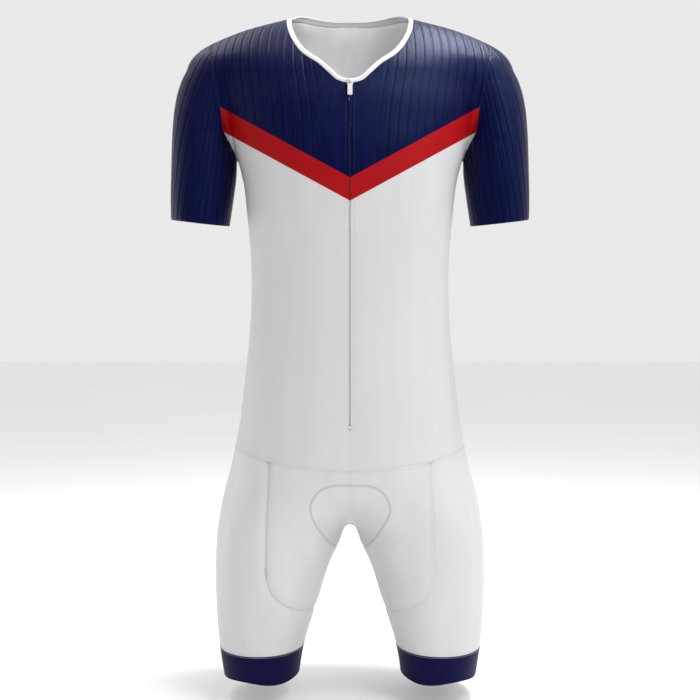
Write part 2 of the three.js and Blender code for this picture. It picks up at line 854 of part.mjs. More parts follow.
function barOf(lines, depth, thick) {
  const sheet = new Sheet();
  const outer = lines.map((line) => line.map((spot) => raised(spot, -depth)));
  const inner = lines.map((line) => line.map((spot) => raised(spot, -depth - thick)));
  const [a, b] = outer;
  const [c, d] = inner;
  sheet.strip(a, b);
  sheet.strip(d, c);
  sheet.strip(c, a);
  sheet.strip(b, d);
  sheet.quad(a[0], b[0], d[0], c[0]);
  sheet.quad(b.at(-1), a.at(-1), c.at(-1), d.at(-1));
  return sheet;
}

const ZIP_DEPTH = WALL + SEAM_GAP;
const tapeStart = TEETH_HALF_WIDTH + 0.4;
const tapeLines = [alongEdge(zipRows, tapeStart), alongEdge(zipRows, tapeStart + TAPE_WIDTH)];
addPair('zip_tape', barOf(tapeLines, ZIP_DEPTH, TAPE_THICK), WHITE);

const ZIP_TOP = -95.5;
const teethLine = alongEdge(zipRows, TEETH_HALF_WIDTH);
const topSpot = settleUpright(at(0, -97, ZIP_TOP));
topSpot.x = TEETH_HALF_WIDTH;
teethLine.push({ p: topSpot, n: outward(topSpot) });
const mirrorLine = teethLine.map(({ p, n }) => ({ p: at(-p.x, p.y, p.z), n: at(-n.x, n.y, n.z) }));
addPiece('zip_teeth', barOf([mirrorLine, teethLine], ZIP_DEPTH, TEETH_THICK).geometry(), ZIP_WHITE);

// Slider, pull tab and end stop, each in the slope of the cloth under it
function solid(geometry) {
  geometry.deleteAttribute('normal');
  geometry.deleteAttribute('uv');
  const merged = mergeVertices(geometry, 1e-4);
  return new wasm.Manifold(new wasm.Mesh({
    numProp: 3,
    vertProperties: merged.attributes.position.array,
    triVerts: new Uint32Array(merged.index.array),
  }));
}

function geometryOf(manifold) {
  const mesh = manifold.getMesh();
  const geometry = new THREE.BufferGeometry();
  geometry.setAttribute('position', new THREE.BufferAttribute(new Float32Array(mesh.vertProperties), 3));
  geometry.setIndex(new THREE.BufferAttribute(new Uint32Array(mesh.triVerts), 1));
  return geometry;
}

// A plate of an outline across X and Z, from one distance out of the cloth to another
function plate(outline, from, to) {
  const geometry = new THREE.ExtrudeGeometry(outline, { depth: to - from, bevelEnabled: false, curveSegments: 5 });
  geometry.rotateX(Math.PI / 2);
  geometry.translate(0, -from, 0);
  return solid(geometry);
}

// A rectangle with rounded corners across X and Z
function roundedOutline(left, right, low, high, radius) {
  const shape = new THREE.Shape();
  shape.absarc(right - radius, high - radius, radius, 0, Math.PI / 2, false);
  shape.absarc(left + radius, high - radius, radius, Math.PI / 2, Math.PI, false);
  shape.absarc(left + radius, low + radius, radius, Math.PI, 1.5 * Math.PI, false);
  shape.absarc(right - radius, low + radius, radius, 1.5 * Math.PI, 2 * Math.PI, false);
  shape.closePath();
  return shape;
}

const SLIDER_HEIGHT = -99.4; // height of the tab's pin on the chest
const SLIDER_HALF = 3.8;
const SLIDER_LOW = -5;
const SLIDER_HIGH = 5;
const SLIDER_FROM = BINDING_PROUD + 0.35;
const SLIDER_TO = SLIDER_FROM + 1.4;
const PIN_OUT = SLIDER_TO + 1.35; // the tab's pin over the cloth
const PIN_RADIUS = 0.6;
const TAB_HALF = 3.1;
const TAB_LENGTH = 21;
const TAB_THICK = 1.2;
const TAB_LEAN = 4; // degrees that the hanging tab leans in to the cloth

const sliderSeat = settleUpright(at(0, -97, SLIDER_HEIGHT));
const seatSlope = -Math.asin(outward(sliderSeat).z);
const hardware = new THREE.Group();
hardware.position.copy(sliderSeat);
hardware.rotation.x = seatSlope;
suit.add(hardware);

function slider() {
  const body = plate(roundedOutline(-SLIDER_HALF, SLIDER_HALF, SLIDER_LOW, SLIDER_HIGH, 1.8), SLIDER_FROM, SLIDER_TO);
  const post = plate(roundedOutline(-0.45, 0.45, -3, 3, 0.3), -ZIP_DEPTH + SEAM_GAP, SLIDER_FROM + 0.2);
  const crown = new THREE.Shape();
  crown.moveTo(-3, SLIDER_TO - 0.2);
  crown.lineTo(-2.4, PIN_OUT + 0.9);
  crown.absarc(-1.2, PIN_OUT + 0.9, 1.2, Math.PI, Math.PI / 2, true);
  crown.absarc(1.2, PIN_OUT + 0.9, 1.2, Math.PI / 2, 0, true);
  crown.lineTo(3, SLIDER_TO - 0.2);
  crown.closePath();
  const eye = new THREE.Path();
  eye.moveTo(-1.5, SLIDER_TO + 0.1);
  eye.lineTo(1.5, SLIDER_TO + 0.1);
  eye.lineTo(1.3, PIN_OUT + 1.1);
  eye.lineTo(-1.3, PIN_OUT + 1.1);
  eye.closePath();
  crown.holes.push(eye);
  const arch = new THREE.ExtrudeGeometry(crown, { depth: 1.6, bevelEnabled: false, curveSegments: 4 });
  arch.translate(0, 0, -0.8);
  arch.applyMatrix4(new THREE.Matrix4().set(0, 0, 1, 0, 0, -1, 0, 0, 1, 0, 0, 0, 0, 0, 0, 1));
  return geometryOf(body.add(post).add(solid(arch)));
}
addPiece('zip_slider', slider(), ZIP_WHITE, hardware);

function pullTab() {
  const outline = roundedOutline(-TAB_HALF, TAB_HALF, -TAB_LENGTH + PIN_RADIUS, 0, 1.4);
  const window = roundedOutline(-1.3, 1.3, -4.7, -PIN_RADIUS, 0.5);
  outline.holes.push(window);
  const leaf = plate(outline, -TAB_THICK / 2, TAB_THICK / 2);
  const pin = new THREE.CylinderGeometry(PIN_RADIUS, PIN_RADIUS, 2 * TAB_HALF - 1, 12);
  pin.rotateZ(Math.PI / 2);
  return geometryOf(leaf.add(solid(pin)));
}
const tab = addPiece('zip_pull_tab', pullTab(), ZIP_WHITE, hardware);
tab.position.set(0, -PIN_OUT, 0);
tab.rotation.x = THREE.MathUtils.degToRad(TAB_LEAN);

// The stop at the zip's lower end
const STOP_HEIGHT = -540;
const stopSeat = settleUpright(at(0, -105, STOP_HEIGHT));
const stop = addPiece('zip_stop', geometryOf(plate(roundedOutline(-2, 2, -1.5, 1.5, 0.6), 0.35, 1.15)), ZIP_WHITE);
stop.position.copy(stopSeat);
stop.rotation.x = -Math.asin(outward(stopSeat).z);

export default suit;
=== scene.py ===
"""A short-sleeved one-piece triathlon suit, filled out as if worn, in a small studio."""

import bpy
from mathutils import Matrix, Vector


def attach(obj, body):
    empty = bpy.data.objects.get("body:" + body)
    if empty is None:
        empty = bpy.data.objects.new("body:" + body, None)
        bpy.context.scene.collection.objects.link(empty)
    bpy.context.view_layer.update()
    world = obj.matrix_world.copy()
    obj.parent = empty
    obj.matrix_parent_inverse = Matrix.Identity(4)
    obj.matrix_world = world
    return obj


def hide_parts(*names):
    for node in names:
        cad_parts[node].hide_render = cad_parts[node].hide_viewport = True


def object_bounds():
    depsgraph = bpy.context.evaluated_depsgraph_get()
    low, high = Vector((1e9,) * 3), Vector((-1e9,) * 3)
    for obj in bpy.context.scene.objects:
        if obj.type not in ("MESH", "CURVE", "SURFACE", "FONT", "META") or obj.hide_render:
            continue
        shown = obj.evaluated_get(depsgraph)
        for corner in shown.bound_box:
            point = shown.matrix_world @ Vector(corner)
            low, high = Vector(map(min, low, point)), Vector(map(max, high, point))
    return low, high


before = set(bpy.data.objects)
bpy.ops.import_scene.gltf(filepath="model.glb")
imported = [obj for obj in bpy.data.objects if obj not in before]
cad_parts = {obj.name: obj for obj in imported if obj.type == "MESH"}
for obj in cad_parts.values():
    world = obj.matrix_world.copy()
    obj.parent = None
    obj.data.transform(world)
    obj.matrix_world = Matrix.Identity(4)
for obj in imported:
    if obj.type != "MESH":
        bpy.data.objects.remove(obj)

import copy
import math

import bmesh
import bpy
import numpy as np
from bpy.props import FloatProperty, FloatVectorProperty, IntProperty, PointerProperty
from bpy.types import Operator, Panel, PropertyGroup
from mathutils import Vector

CAD_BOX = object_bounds()

bl_info = {
    "name": "Triathlon suit maker",
    "version": (1, 0, 0),
    "blender": (4, 5, 0),
    "location": "3D View > Sidebar > Suit",
    "description": "Cuts, prints, sews and lights a short-sleeved triathlon suit",
    "category": "Object",
}

MM = 0.001

# The form of the suit, in millimetres. Height, outer half-width, front, back, squareness
TRUNK = {
    "columns": ("z", "outer", "front", "back", "square"),
    "rows": (
        (50, 44, 14, 56, 2.0),
        (40, 58, 4, 60, 2.0),
        (31, 70, -8, 64, 2.0),
        (17, 88, -24, 71, 2.0),
        (8, 117, -34, 76, 2.0),
        (-3, 154, -46, 83, 2.0),
        (-14, 181, -55, 89, 2.0),
        (-26, 204, -63, 95, 2.0),
        (-40, 218, -72, 100, 2.0),
        (-52, 219, -79, 104, 2.05),
        (-68, 207, -87, 108, 2.15),
        (-90, 189, -95, 113, 2.3),
        (-120, 175, -105, 117, 2.45),
        (-150, 164, -112, 119, 2.45),
        (-180, 154.5, -117, 118, 2.4),
        (-207, 147, -118, 115, 2.35),
        (-262, 140, -112, 104, 2.3),
        (-331, 134.6, -104, 92, 2.25),
        (-373, 134.6, -101, 88, 2.25),
        (-428, 138, -101, 91, 2.25),
        (-483, 144, -103, 100, 2.25),
        (-538, 151, -105, 113, 2.25),
        (-593, 162, -105, 123, 2.25),
        (-649, 176, -101, 121, 2.25),
        (-704, 183.5, -94, 103, 2.15),
        (-731, 184.2, -91, 96, 2.1),
        (-787, 183.2, -83, 84, 2.1),
        (-842, 178.7, -71, 71, 2.1),
        (-883, 172.5, -62, 62, 2.1),
        (-910, 168, -58, 58, 2.1),
    ),
}

# The inner side of one leg
INNER_LEG = {
    "columns": ("z", "inner"),
    "rows": (
        (-520, -149),
        (-566, -146),
        (-593, -118),
        (-621, -80),
        (-649, -32),
        (-676, 2),
        (-704, 14.5),
        (-731, 27),
        (-787, 45),
        (-842, 62.4),
        (-883, 69.7),
        (-910, 72),
    ),
}

# Level sections of one sleeve
SLEEVE = {
    "columns": ("z", "outer", "inner", "front", "back"),
    "rows": (
        (-8, 150, 110, 5, 35),
        (-22, 186, 100, -12, 50),
        (-40, 211, 100, -31, 62),
        (-60, 227, 108, -44, 68),
        (-85, 237, 128, -49, 70),
        (-110, 241.5, 145, -52, 69),
        (-140, 243.5, 154, -55, 65),
        (-168, 244, 157, -58, 60),
        (-200, 244, 157.3, -60, 53),
        (-235, 244, 161, -61, 45),
        (-271, 242.6, 165.6, -62, 38),
        (-300, 241, 168, -62, 32),
    ),
}

# How far the ribs of the front lean sideways at each height
LEAN = {
    "columns": ("z", "lean"),
    "rows": ((-39, 1.8), (-76, 0), (-100, -4), (-138, -9.5), (-173, -12), (-230, -14)),
}

# Seams of the wearer's left half, through a few points that are then laid on the form
NECK_FRONT = (
    (0, -98.8, -100.7),
    (6.5, -98.4, -99.8),
    (16.4, -97.2, -96),
    (27.3, -92.9, -85.9),
    (40.3, -87.5, -72.8),
    (63.4, -76.6, -54.2),
    (80, -55.7, -24.6),
    (86, -16, 6),
    (86, 14, 17),
)
NECK_BACK = ((86, 14, 17), (78, 40, 27.5), (55, 59, 27.5), (28, 66, 26), (0, 67, 26))
NECK_EDGE = (
    (0, -96.6, -94),
    (5.4, -96.3, -93.3),
    (13.4, -95.1, -90.2),
    (23.4, -91.3, -80.7),
    (36.7, -85.5, -67.3),
    (58.3, -74.3, -48.9),
    (73.8, -55.1, -22.4),
    (80, -16.6, 11),
    (79.5, 14, 25.5),
    (71, 37, 34.5),
    (50, 54, 34),
    (26, 62, 32.5),
    (0, 63.5, 32.5),
)
SHOULDER = ((86, 14, 17), (120, 12, 6), (155, 9, -5), (187, 4, -20))
ARMHOLE_FRONT = (
    (155, 5, -182),
    (160, -23, -167.6),
    (167, -43.9, -148.1),
    (172.6, -52.2, -119.5),
    (179.2, -52, -90.3),
    (185.2, -43.1, -54.5),
    (187.5, -21, -30),
    (187, 4, -20),
)
ARMHOLE_BACK = (
    (155, 5, -182),
    (160, 32, -168),
    (167, 53, -148),
    (173, 65, -120),
    (180, 68, -90),
    (186, 57, -54),
    (188, 30, -27),
    (187, 4, -20),
)
SIDE = (
    (157, 8, -573),
    (151, 4, -538),
    (144, -2, -483),
    (138, -5, -428),
    (134.6, -6, -340),
    (140, -4, -262),
    (147, -2, -207),
    (155, 5, -182),
)
WAIST_FRONT = ((0, -106, -596), (50, -103.6, -593.5), (88, -94.2, -588.5), (104, -87, -586))
WAIST_SIDE = ((104, -87, -586), (140, -50, -578), (157, 8, -573))
HIP_SIDE = ((157, 8, -573), (142, 66, -568), (102, 101, -565))
HIP_BACK = ((102, 101, -565), (55, 116, -563), (0, 121, -562))
THIGH_FRONT = ((107.5, -90.5, -728), (106, -92.6, -680), (104.6, -94.6, -628.6), (104, -87, -586))
THIGH_BACK = ((107.5, 96, -728), (106, 104, -680), (104, 108, -628), (102, 101, -565))
OUTER_THIGH = (
    (107.5, -90.5, -728),
    (150, -70, -728),
    (180, -30, -728),
    (185, 3, -728),
    (180, 34, -728),
    (150, 74, -728),
    (107.5, 96, -728),
)
CORNER_FRONT = (
    (46, 0, -791),
    (51, -30.6, -790),
    (61.8, -57.8, -785),
    (81.6, -77.7, -775),
    (97.8, -86.1, -760.2),
    (105.5, -90, -744),
    (107.5, -90.5, -728),
)
CORNER_BACK = tuple((x, -1.03 * y, z) for x, y, z in CORNER_FRONT)
CROTCH = (0, 8, -690)
RISE_FRONT = (CROTCH, (0, -45, -680), (0, -88, -662), (0, -102, -635), (0, -106, -596))
RISE_BACK = (CROTCH, (0, 58, -682), (0, 98, -664), (0, 117, -635), (0, 121, -562))
INSEAM = ((46, 0, -791), (38, 2, -762), (27, 4, -731), (14, 7, -706), CROTCH)
PAD_MIDDLE = (
    (0, -105, -614),
    (0, -88, -662),
    (0, -45, -680),
    CROTCH,
    (0, 58, -682),
    (0, 98, -664),
    (0, 121, -600),
)
PAD_EDGE = (
    (27, -104.7, -615.5),
    (43, -103.5, -625),
    (51, -100.8, -645),
    (43.4, -93, -667),
    (24, -57, -697),
    (20, -15, -707),
    (22, 30, -708),
    (38, 80, -694),
    (62, 108, -664),
    (70, 117, -632),
    (58, 119, -608),
    (34, 120, -600.5),
)
PAD_OUTLINE = ((0, -105, -614), *PAD_EDGE, (0, 121, -600))

# Lines of the zip and the hems
ZIP_END = -543
ZIP_TOP = (0, -98.8, -100.7)
ZIP_FOOT = (0, -106, -596)
SLOT = 2.5
TOPSTITCH = 4.4
BAND_TOP = -843
HEM = -882
HEM_WAVE = 2.6
CUFF = -262
CUFF_FALL_IN = 0.117
CUFF_FALL_FRONT = 0.13

# The printed chevron looks straight from in front: its two edges at the zip, and how they climb
CHEVRON_TOP = -203.4
CHEVRON_FOOT = -235.6
CHEVRON_CLIMB = 0.543
EYE_DISTANCE = 1320
EYE_HEIGHT = -441.6

# Cells along the seams, as the cutter's pattern has them
QUARTER = 8
NECK_CELLS = 7
SHOULDER_CELLS = 9
SIDE_CELLS = 9
ARMHOLE_CELLS = 7
THIGH_CELLS = 6
CORNER_CELLS = 6
SLEEVE_CELLS = 9
LOWER_CELLS = 3
BELOW_ZIP = 2
NECK_CROWDING = 1.3

# Soft creases: which side, two ends on the form, half-width and depth; ridges have a depth below 0
CREASES = (
    ("left", (150, -72, -190), (112, -100, -236), 7, 1.1),
    ("left", (147, -62, -214), (122, -88, -262), 6, 0.8),
    ("left", (152, -58, -170), (136, -88, -176), 5, 0.9),
    ("right", (148, -74, -186), (104, -104, -222), 8, 1.0),
    ("right", (147, -60, -222), (126, -84, -284), 6, 0.9),
    ("left", (133, -30, -330), (96, -84, -352), 8, 0.9),
    ("left", (134, -26, -372), (102, -80, -380), 7, 0.7),
    ("right", (133, -32, -318), (90, -88, -346), 8, 1.0),
    ("right", (134, -28, -356), (108, -76, -372), 6, 0.7),
    ("right", (135, -20, -402), (104, -80, -404), 8, 0.8),
    ("left", (150, -46, -520), (116, -88, -548), 9, 0.9),
    ("right", (149, -50, -508), (110, -90, -552), 9, 1.0),
    ("left", (96, -98, -604), (60, -96, -668), 9, 0.9),
    ("left", (82, -90, -712), (46, -62, -724), 7, 1.0),
    ("left", (86, -88, -738), (56, -60, -746), 6, 0.7),
    ("right", (100, -96, -600), (64, -96, -664), 9, 0.9),
    ("right", (78, -92, -704), (42, -60, -716), 7, 1.1),
    ("right", (90, -88, -742), (58, -60, -740), 6, 0.7),
    ("left", (148, 60, -200), (96, 104, -250), 9, 1.2),
    ("left", (146, 52, -226), (110, 96, -290), 7, 0.9),
    ("right", (149, 62, -196), (92, 106, -240), 9, 1.3),
    ("right", (144, 56, -234), (104, 98, -304), 8, 0.9),
    ("left", (128, 40, -350), (50, 88, -366), 9, 1.3),
    ("left", (130, 36, -392), (70, 84, -398), 8, 1.0),
    ("right", (128, 42, -340), (40, 90, -360), 9, 1.4),
    ("right", (130, 38, -384), (62, 86, -402), 8, 1.0),
    ("both", (20, 92, -424), (96, 80, -414), 9, 0.8),
    ("left", (70, 112, -690), (36, 74, -722), 9, 1.2),
    ("right", (74, 110, -696), (40, 72, -730), 9, 1.1),
    ("left", (150, 68, -600), (118, 98, -640), 9, 0.8),
    ("right", (154, 64, -606), (122, 96, -652), 9, 0.9),
    ("left", (206, -58, -170), (176, -52, -150), 6, 1.0),
    ("left", (200, -58, -200), (172, -50, -186), 6, 0.8),
    ("right", (208, -58, -164), (178, -54, -146), 6, 1.1),
    ("right", (198, -58, -210), (170, -48, -192), 6, 0.8),
    ("left", (204, 64, -160), (176, 62, -140), 7, 1.2),
    ("right", (206, 62, -168), (178, 60, -146), 7, 1.2),
    ("both", (214, 56, -196), (182, 54, -180), 7, 0.9),
)


def section(table, name, z):
    """The value of one named column at heights z, on a smooth curve through the rows."""
    rows = np.array(table["rows"], float)[::-1]
    heights = rows[:, 0]
    values = rows[:, table["columns"].index(name)]
    span = np.diff(heights)
    slope = np.diff(values) / span
    tangent = np.empty_like(values)
    tangent[0], tangent[-1] = slope[0], slope[-1]
    tangent[1:-1] = (slope[:-1] * span[1:] + slope[1:] * span[:-1]) / (span[:-1] + span[1:])
    z = np.clip(z, heights[0], heights[-1])
    i = np.clip(np.searchsorted(heights, z, side="right") - 1, 0, len(span) - 1)
    h = span[i]
    s = (z - heights[i]) / h
    keep = 1 - s
    start = (values[i] * (1 + 2 * s) + tangent[i] * h * s) * keep * keep
    return start + values[i + 1] * s * s * (3 - 2 * s) - tangent[i + 1] * h * s * s * keep


def smoothstep(x, low, high):
    """Goes softly from 0 at low to 1 at high."""
    t = np.clip((x - low) / (high - low), 0, 1)
    return t * t * (3 - 2 * t)


def from_ellipse(x, y, left, right, front, back, square):
    """Distance of points from a squared ellipse, in its own plane."""
    half = (right - left) / 2
    deep = (back - front) / 2
    across = np.abs(x - (left + right) / 2) / half
    along = np.abs(y - (front + back) / 2) / deep
    reach = np.maximum((across**square + along**square) ** (1 / square), 1e-6)
    rise = np.hypot((across / reach) ** (square - 1) / half, (along / reach) ** (square - 1) / deep)
    return (reach - 1) / np.maximum(rise, 1e-9)


def rounded(a, b, radius):
    """The lesser of two distances, with a rounded valley between them."""
    overlap = np.maximum(radius - np.abs(a - b), 0) / radius
    return np.minimum(a, b) - overlap * overlap * radius / 4


# Radii where two forms meet, the heights between which they do, and how square a sleeve is
CROTCH_ROUND = 23
CROTCH_FROM, CROTCH_TO = 560, 640
ARMPIT_ROUND = 5
ARMPIT_HEIGHT = -160
SHOULDER_ROUND = 18
SHOULDER_HEIGHT = -110
SLEEVE_SQUARE = 2.1
ARM_TOP, ARM_FOOT = -8, -300
LEGS_PART = -520


def figure(p):
    """The filled-out form: below zero inside, zero on the cloth's outer face."""
    side, y, z = np.abs(p[..., 0]), p[..., 1], p[..., 2]
    outer, front, back, square = (
        section(TRUNK, name, z) for name in ("outer", "front", "back", "square")
    )
    inner = np.where(z > LEGS_PART, -outer, section(INNER_LEG, "inner", z))
    near = from_ellipse(side, y, inner, outer, front, back, square)
    far = from_ellipse(-side, y, inner, outer, front, back, square)
    soft = 0.5 + CROTCH_ROUND * smoothstep(-z, CROTCH_FROM, CROTCH_TO)
    body = np.where(z < LEGS_PART, rounded(near, far, soft), near)
    names = ("inner", "outer", "front", "back")
    arm = from_ellipse(side, y, *(section(SLEEVE, name, z) for name in names), SLEEVE_SQUARE)
    climb = smoothstep(z, ARMPIT_HEIGHT, SHOULDER_HEIGHT)
    valley = ARMPIT_ROUND + (SHOULDER_ROUND - ARMPIT_ROUND) * climb
    return np.where((z > ARM_TOP) | (z < ARM_FOOT), body, rounded(body, arm, valley))


def slope_of(p):
    """How the form's distance changes at points, along each axis."""
    step = 0.05
    slope = np.empty_like(p)
    for axis in range(3):
        move = np.zeros(3)
        move[axis] = step
        slope[..., axis] = (figure(p + move) - figure(p - move)) / (2 * step)
    return slope


def unit(v):
    """Directions of length 1."""
    return v / np.maximum(np.linalg.norm(v, axis=-1, keepdims=True), 1e-9)


def outward(p):
    """The direction that points straight out of the cloth."""
    return unit(slope_of(p))


def settle(points, steps=12):
    """Moves points on to the form."""
    p = np.array(points, float)
    stride = 12
    for _ in range(steps):
        slope = slope_of(p)
        square = np.maximum((slope**2).sum(-1), 0.05)
        move = slope * (-figure(p) / square)[..., None]
        length = np.linalg.norm(move, axis=-1, keepdims=True)
        move *= np.minimum(1, stride / np.maximum(length, 1e-9))
        p += move
        if length.max() < 0.001:
            break
    return p


def settle_upright(points):
    """Lays points of the mid-plane on the form without changing their heights."""
    p = np.array(points, float)
    for _ in range(20):
        p[..., 1] -= figure(p) * np.sign(slope_of(p)[..., 1])
    return p


def curve_at(points, share):
    """Points at shares of the length of a smooth curve through a few points."""
    q = np.array(points, float)
    q = np.vstack([2 * q[0] - q[1], q, 2 * q[-1] - q[-2]])
    gap = np.sqrt(np.linalg.norm(np.diff(q, axis=0), axis=1))
    steps = np.linspace(0, 1, 40, endpoint=False)[:, None]
    pieces = []
    for i in range(1, len(q) - 2):
        a, b, c = gap[i - 1], gap[i], gap[i + 1]
        leave = ((q[i] - q[i - 1]) / a - (q[i + 1] - q[i - 1]) / (a + b)) * b + q[i + 1] - q[i]
        reach = q[i + 1] - q[i] + ((q[i + 2] - q[i + 1]) / c - (q[i + 2] - q[i]) / (b + c)) * b
        bend = 3 * (q[i + 1] - q[i]) - 2 * leave - reach
        turn = 2 * (q[i] - q[i + 1]) + leave + reach
        pieces.append(q[i] + leave * steps + bend * steps**2 + turn * steps**3)
    dense = np.vstack([*pieces, q[-2:-1]])
    length = np.concatenate([[0], np.cumsum(np.linalg.norm(np.diff(dense, axis=0), axis=1))])
    return np.stack([np.interp(share * length[-1], length, dense[:, k]) for k in range(3)], -1)


class Seam:
    """A seam on the form; at(t) gives its points at t, counted in cells from its start."""

    def __init__(self, points, cells, crowding=1.0):
        self.points, self.cells, self.crowding = points, cells, crowding

    def at(self, t):
        placed = settle(curve_at(self.points, (t / self.cells) ** self.crowding))
        for end, place in ((self.points[0], 0), (self.points[-1], self.cells)):
            if end[0] == 0:
                placed[np.isclose(t, place), 0] = 0
        return placed


class Centre(Seam):
    """The zip line: even cells below the zip's end and above it."""

    def __init__(self, cells):
        super().__init__((), cells)

    def at(self, t):
        low = np.clip(t / BELOW_ZIP, 0, 1)[:, None]
        high = np.clip((t - BELOW_ZIP) / (self.cells - BELOW_ZIP), 0, 1)[:, None]
        foot, top = np.array(ZIP_FOOT, float), np.array(ZIP_TOP, float)
        end = np.array((0, -105, ZIP_END), float)
        return settle_upright(np.where(high > 0, end + (top - end) * high, foot + (end - foot) * low))


class MiddleBack(Seam):
    """The middle of the back, from the waist seam to the neck."""

    def __init__(self, cells):
        super().__init__((), cells)

    def at(self, t):
        foot, top = HIP_BACK_SEAM.at(np.array([QUARTER])), NECK_BACK_SEAM.at(np.array([NECK_CELLS]))
        share = (t / self.cells)[:, None]
        p = foot + (top - foot) * share
        p[:, 1] = np.where((share[:, 0] > 0) & (share[:, 0] < 1), 110, p[:, 1])
        laid = settle_upright(p)
        laid[share[:, 0] <= 0] = foot
        laid[share[:, 0] >= 1] = top
        return laid


class Chain:
    """Several seams, one after another."""

    def __init__(self, *seams):
        self.seams = seams
        self.cells = sum(seam.cells for seam in seams)

    def at(self, t):
        out = np.empty((len(t), 3))
        start = 0
        for seam in self.seams:
            inside = (t >= start - 1e-9) & (t <= start + seam.cells + 1e-9)
            out[inside] = seam.at(np.clip(t[inside] - start, 0, seam.cells))
            start += seam.cells
        return out


class Turned:
    """A seam followed from its other end."""

    def __init__(self, seam):
        self.seam, self.cells = seam, seam.cells

    def at(self, t):
        return self.seam.at(self.cells - t)


class Doubled:
    """A seam counted in half cells."""

    def __init__(self, seam):
        self.seam, self.cells = seam, 2 * seam.cells

    def at(self, t):
        return self.seam.at(t / 2)


class Ring:
    """A closed edge given by a function of the angle, in turns from the inner side forwards."""

    def __init__(self, cells, place):
        self.cells, self.place = cells, place

    def at(self, t):
        return self.place(t / self.cells)


NECK_FRONT_SEAM = Seam(NECK_FRONT, NECK_CELLS, NECK_CROWDING)
NECK_BACK_SEAM = Seam(NECK_BACK, NECK_CELLS)
SHOULDER_SEAM = Seam(SHOULDER, SHOULDER_CELLS)
ARMHOLE_FRONT_SEAM = Seam(ARMHOLE_FRONT, ARMHOLE_CELLS)
ARMHOLE_BACK_SEAM = Seam(ARMHOLE_BACK, ARMHOLE_CELLS)
SIDE_SEAM = Seam(SIDE, SIDE_CELLS)
WAIST_FRONT_SEAM = Seam(WAIST_FRONT, QUARTER)
WAIST_SIDE_SEAM = Seam(WAIST_SIDE, QUARTER)
HIP_SIDE_SEAM = Seam(HIP_SIDE, QUARTER)
HIP_BACK_SEAM = Seam(HIP_BACK, QUARTER)
THIGH_FRONT_SEAM = Seam(THIGH_FRONT, THIGH_CELLS)
THIGH_BACK_SEAM = Seam(THIGH_BACK, THIGH_CELLS)
OUTER_THIGH_SEAM = Seam(OUTER_THIGH, 2 * QUARTER)
CORNER_FRONT_SEAM = Seam(CORNER_FRONT, CORNER_CELLS)
CORNER_BACK_SEAM = Seam(CORNER_BACK, CORNER_CELLS)
INSEAM_SEAM = Seam(INSEAM, QUARTER)


def coons(bottom, right, top, left, u=None, v=None):
    """A grid between four edges, its rows from the bottom upwards, even unless u and v are given."""
    u = np.linspace(0, 1, len(bottom)) if u is None else u
    v = np.linspace(0, 1, len(left)) if v is None else v
    u, v = u[None, :, None], v[:, None, None]
    grid = bottom[None] * (1 - v) + top[None] * v + left[:, None] * (1 - u) + right[:, None] * u
    low = bottom[None, :1] * (1 - u) + bottom[None, -1:] * u
    high = top[None, :1] * (1 - u) + top[None, -1:] * u
    return grid - low * (1 - v) - high * v


def evened(grid, ring, sweeps):
    """Evens out the inner points of a grid, each towards the middle of its neighbours."""
    for _ in range(sweeps):
        wide = np.hstack([grid[:, -2:-1], grid[:, :-1], grid[:, :1]]) if ring else grid
        middle = (wide[1:-1, :-2] + wide[1:-1, 2:] + wide[:-2, 1:-1] + wide[2:, 1:-1]) / 4
        if ring:
            grid[1:-1, :-1] = settle(middle, 4)
            grid[1:-1, -1] = grid[1:-1, 0]
        else:
            grid[1:-1, 1:-1] = settle(middle, 4)
    return grid


def finer(grid, t, axis, ring=False):
    """A grid's smooth curves through its points, read at places t along one axis."""
    g = np.moveaxis(grid, axis, 0)
    ends = (g[-2:-1], g[1:2]) if ring else (2 * g[:1] - g[1:2], 2 * g[-1:] - g[-2:-1])
    g = np.concatenate([ends[0], g, ends[1]])
    i = np.clip(np.floor(t).astype(int), 0, len(g) - 4)
    s = (t - i).reshape(-1, *([1] * (g.ndim - 1)))
    a, b, c, d = g[i], g[i + 1], g[i + 2], g[i + 3]
    out = b + s / 2 * (c - a + s * (2 * a - 5 * b + 4 * c - d + s * (3 * (b - c) + d - a)))
    return np.moveaxis(out, 0, axis)


def counts(seam):
    """The whole cells along a seam."""
    return np.arange(seam.cells + 1, dtype=float)


def refined(rough, sides, u, v, ring=False):
    """A rough grid read finely, with its four edges laid exactly on their seams."""
    smooth = finer(finer(rough, v, 0), u, 1, ring)
    bottom, right, top, left = sides
    last = np.zeros_like(smooth[:, 0])
    gaps = (
        bottom.at(u) - smooth[0],
        last if right is None else right.at(v) - smooth[:, -1],
        top.at(u) - smooth[-1],
        last if left is None else left.at(v) - smooth[:, 0],
    )
    if ring:
        share = (v / v[-1])[:, None, None]
        smooth += gaps[0][None] * (1 - share) + gaps[2][None] * share
    else:
        smooth += coons(*gaps, u / u[-1], v / v[-1])
    return settle(smooth, 6)


def patch(bottom, right, top, left, u, v, sweeps=12):
    """A cloth panel between four seams, with its points at the places u and v, in cells."""
    edges = [side.at(counts(side)) for side in (bottom, right, top, left)]
    rough = coons(*edges)
    rough[1:-1, 1:-1] = settle(rough[1:-1, 1:-1])
    return refined(evened(rough, False, sweeps), (bottom, right, top, left), u, v)


def tube(bottom, top, rows, u, v, sweeps, power=1.0):
    """A cloth tube between two closed edges."""
    low, high = bottom.at(counts(bottom)), top.at(counts(bottom))
    share = (np.arange(rows + 1) / rows)[:, None, None] ** power
    rough = low[None] * (1 - share) + high[None] * share
    rough[1:-1] = settle(rough[1:-1])
    rough = evened(rough, True, sweeps)
    return refined(rough, (bottom, None, top, None), u, v, ring=True)


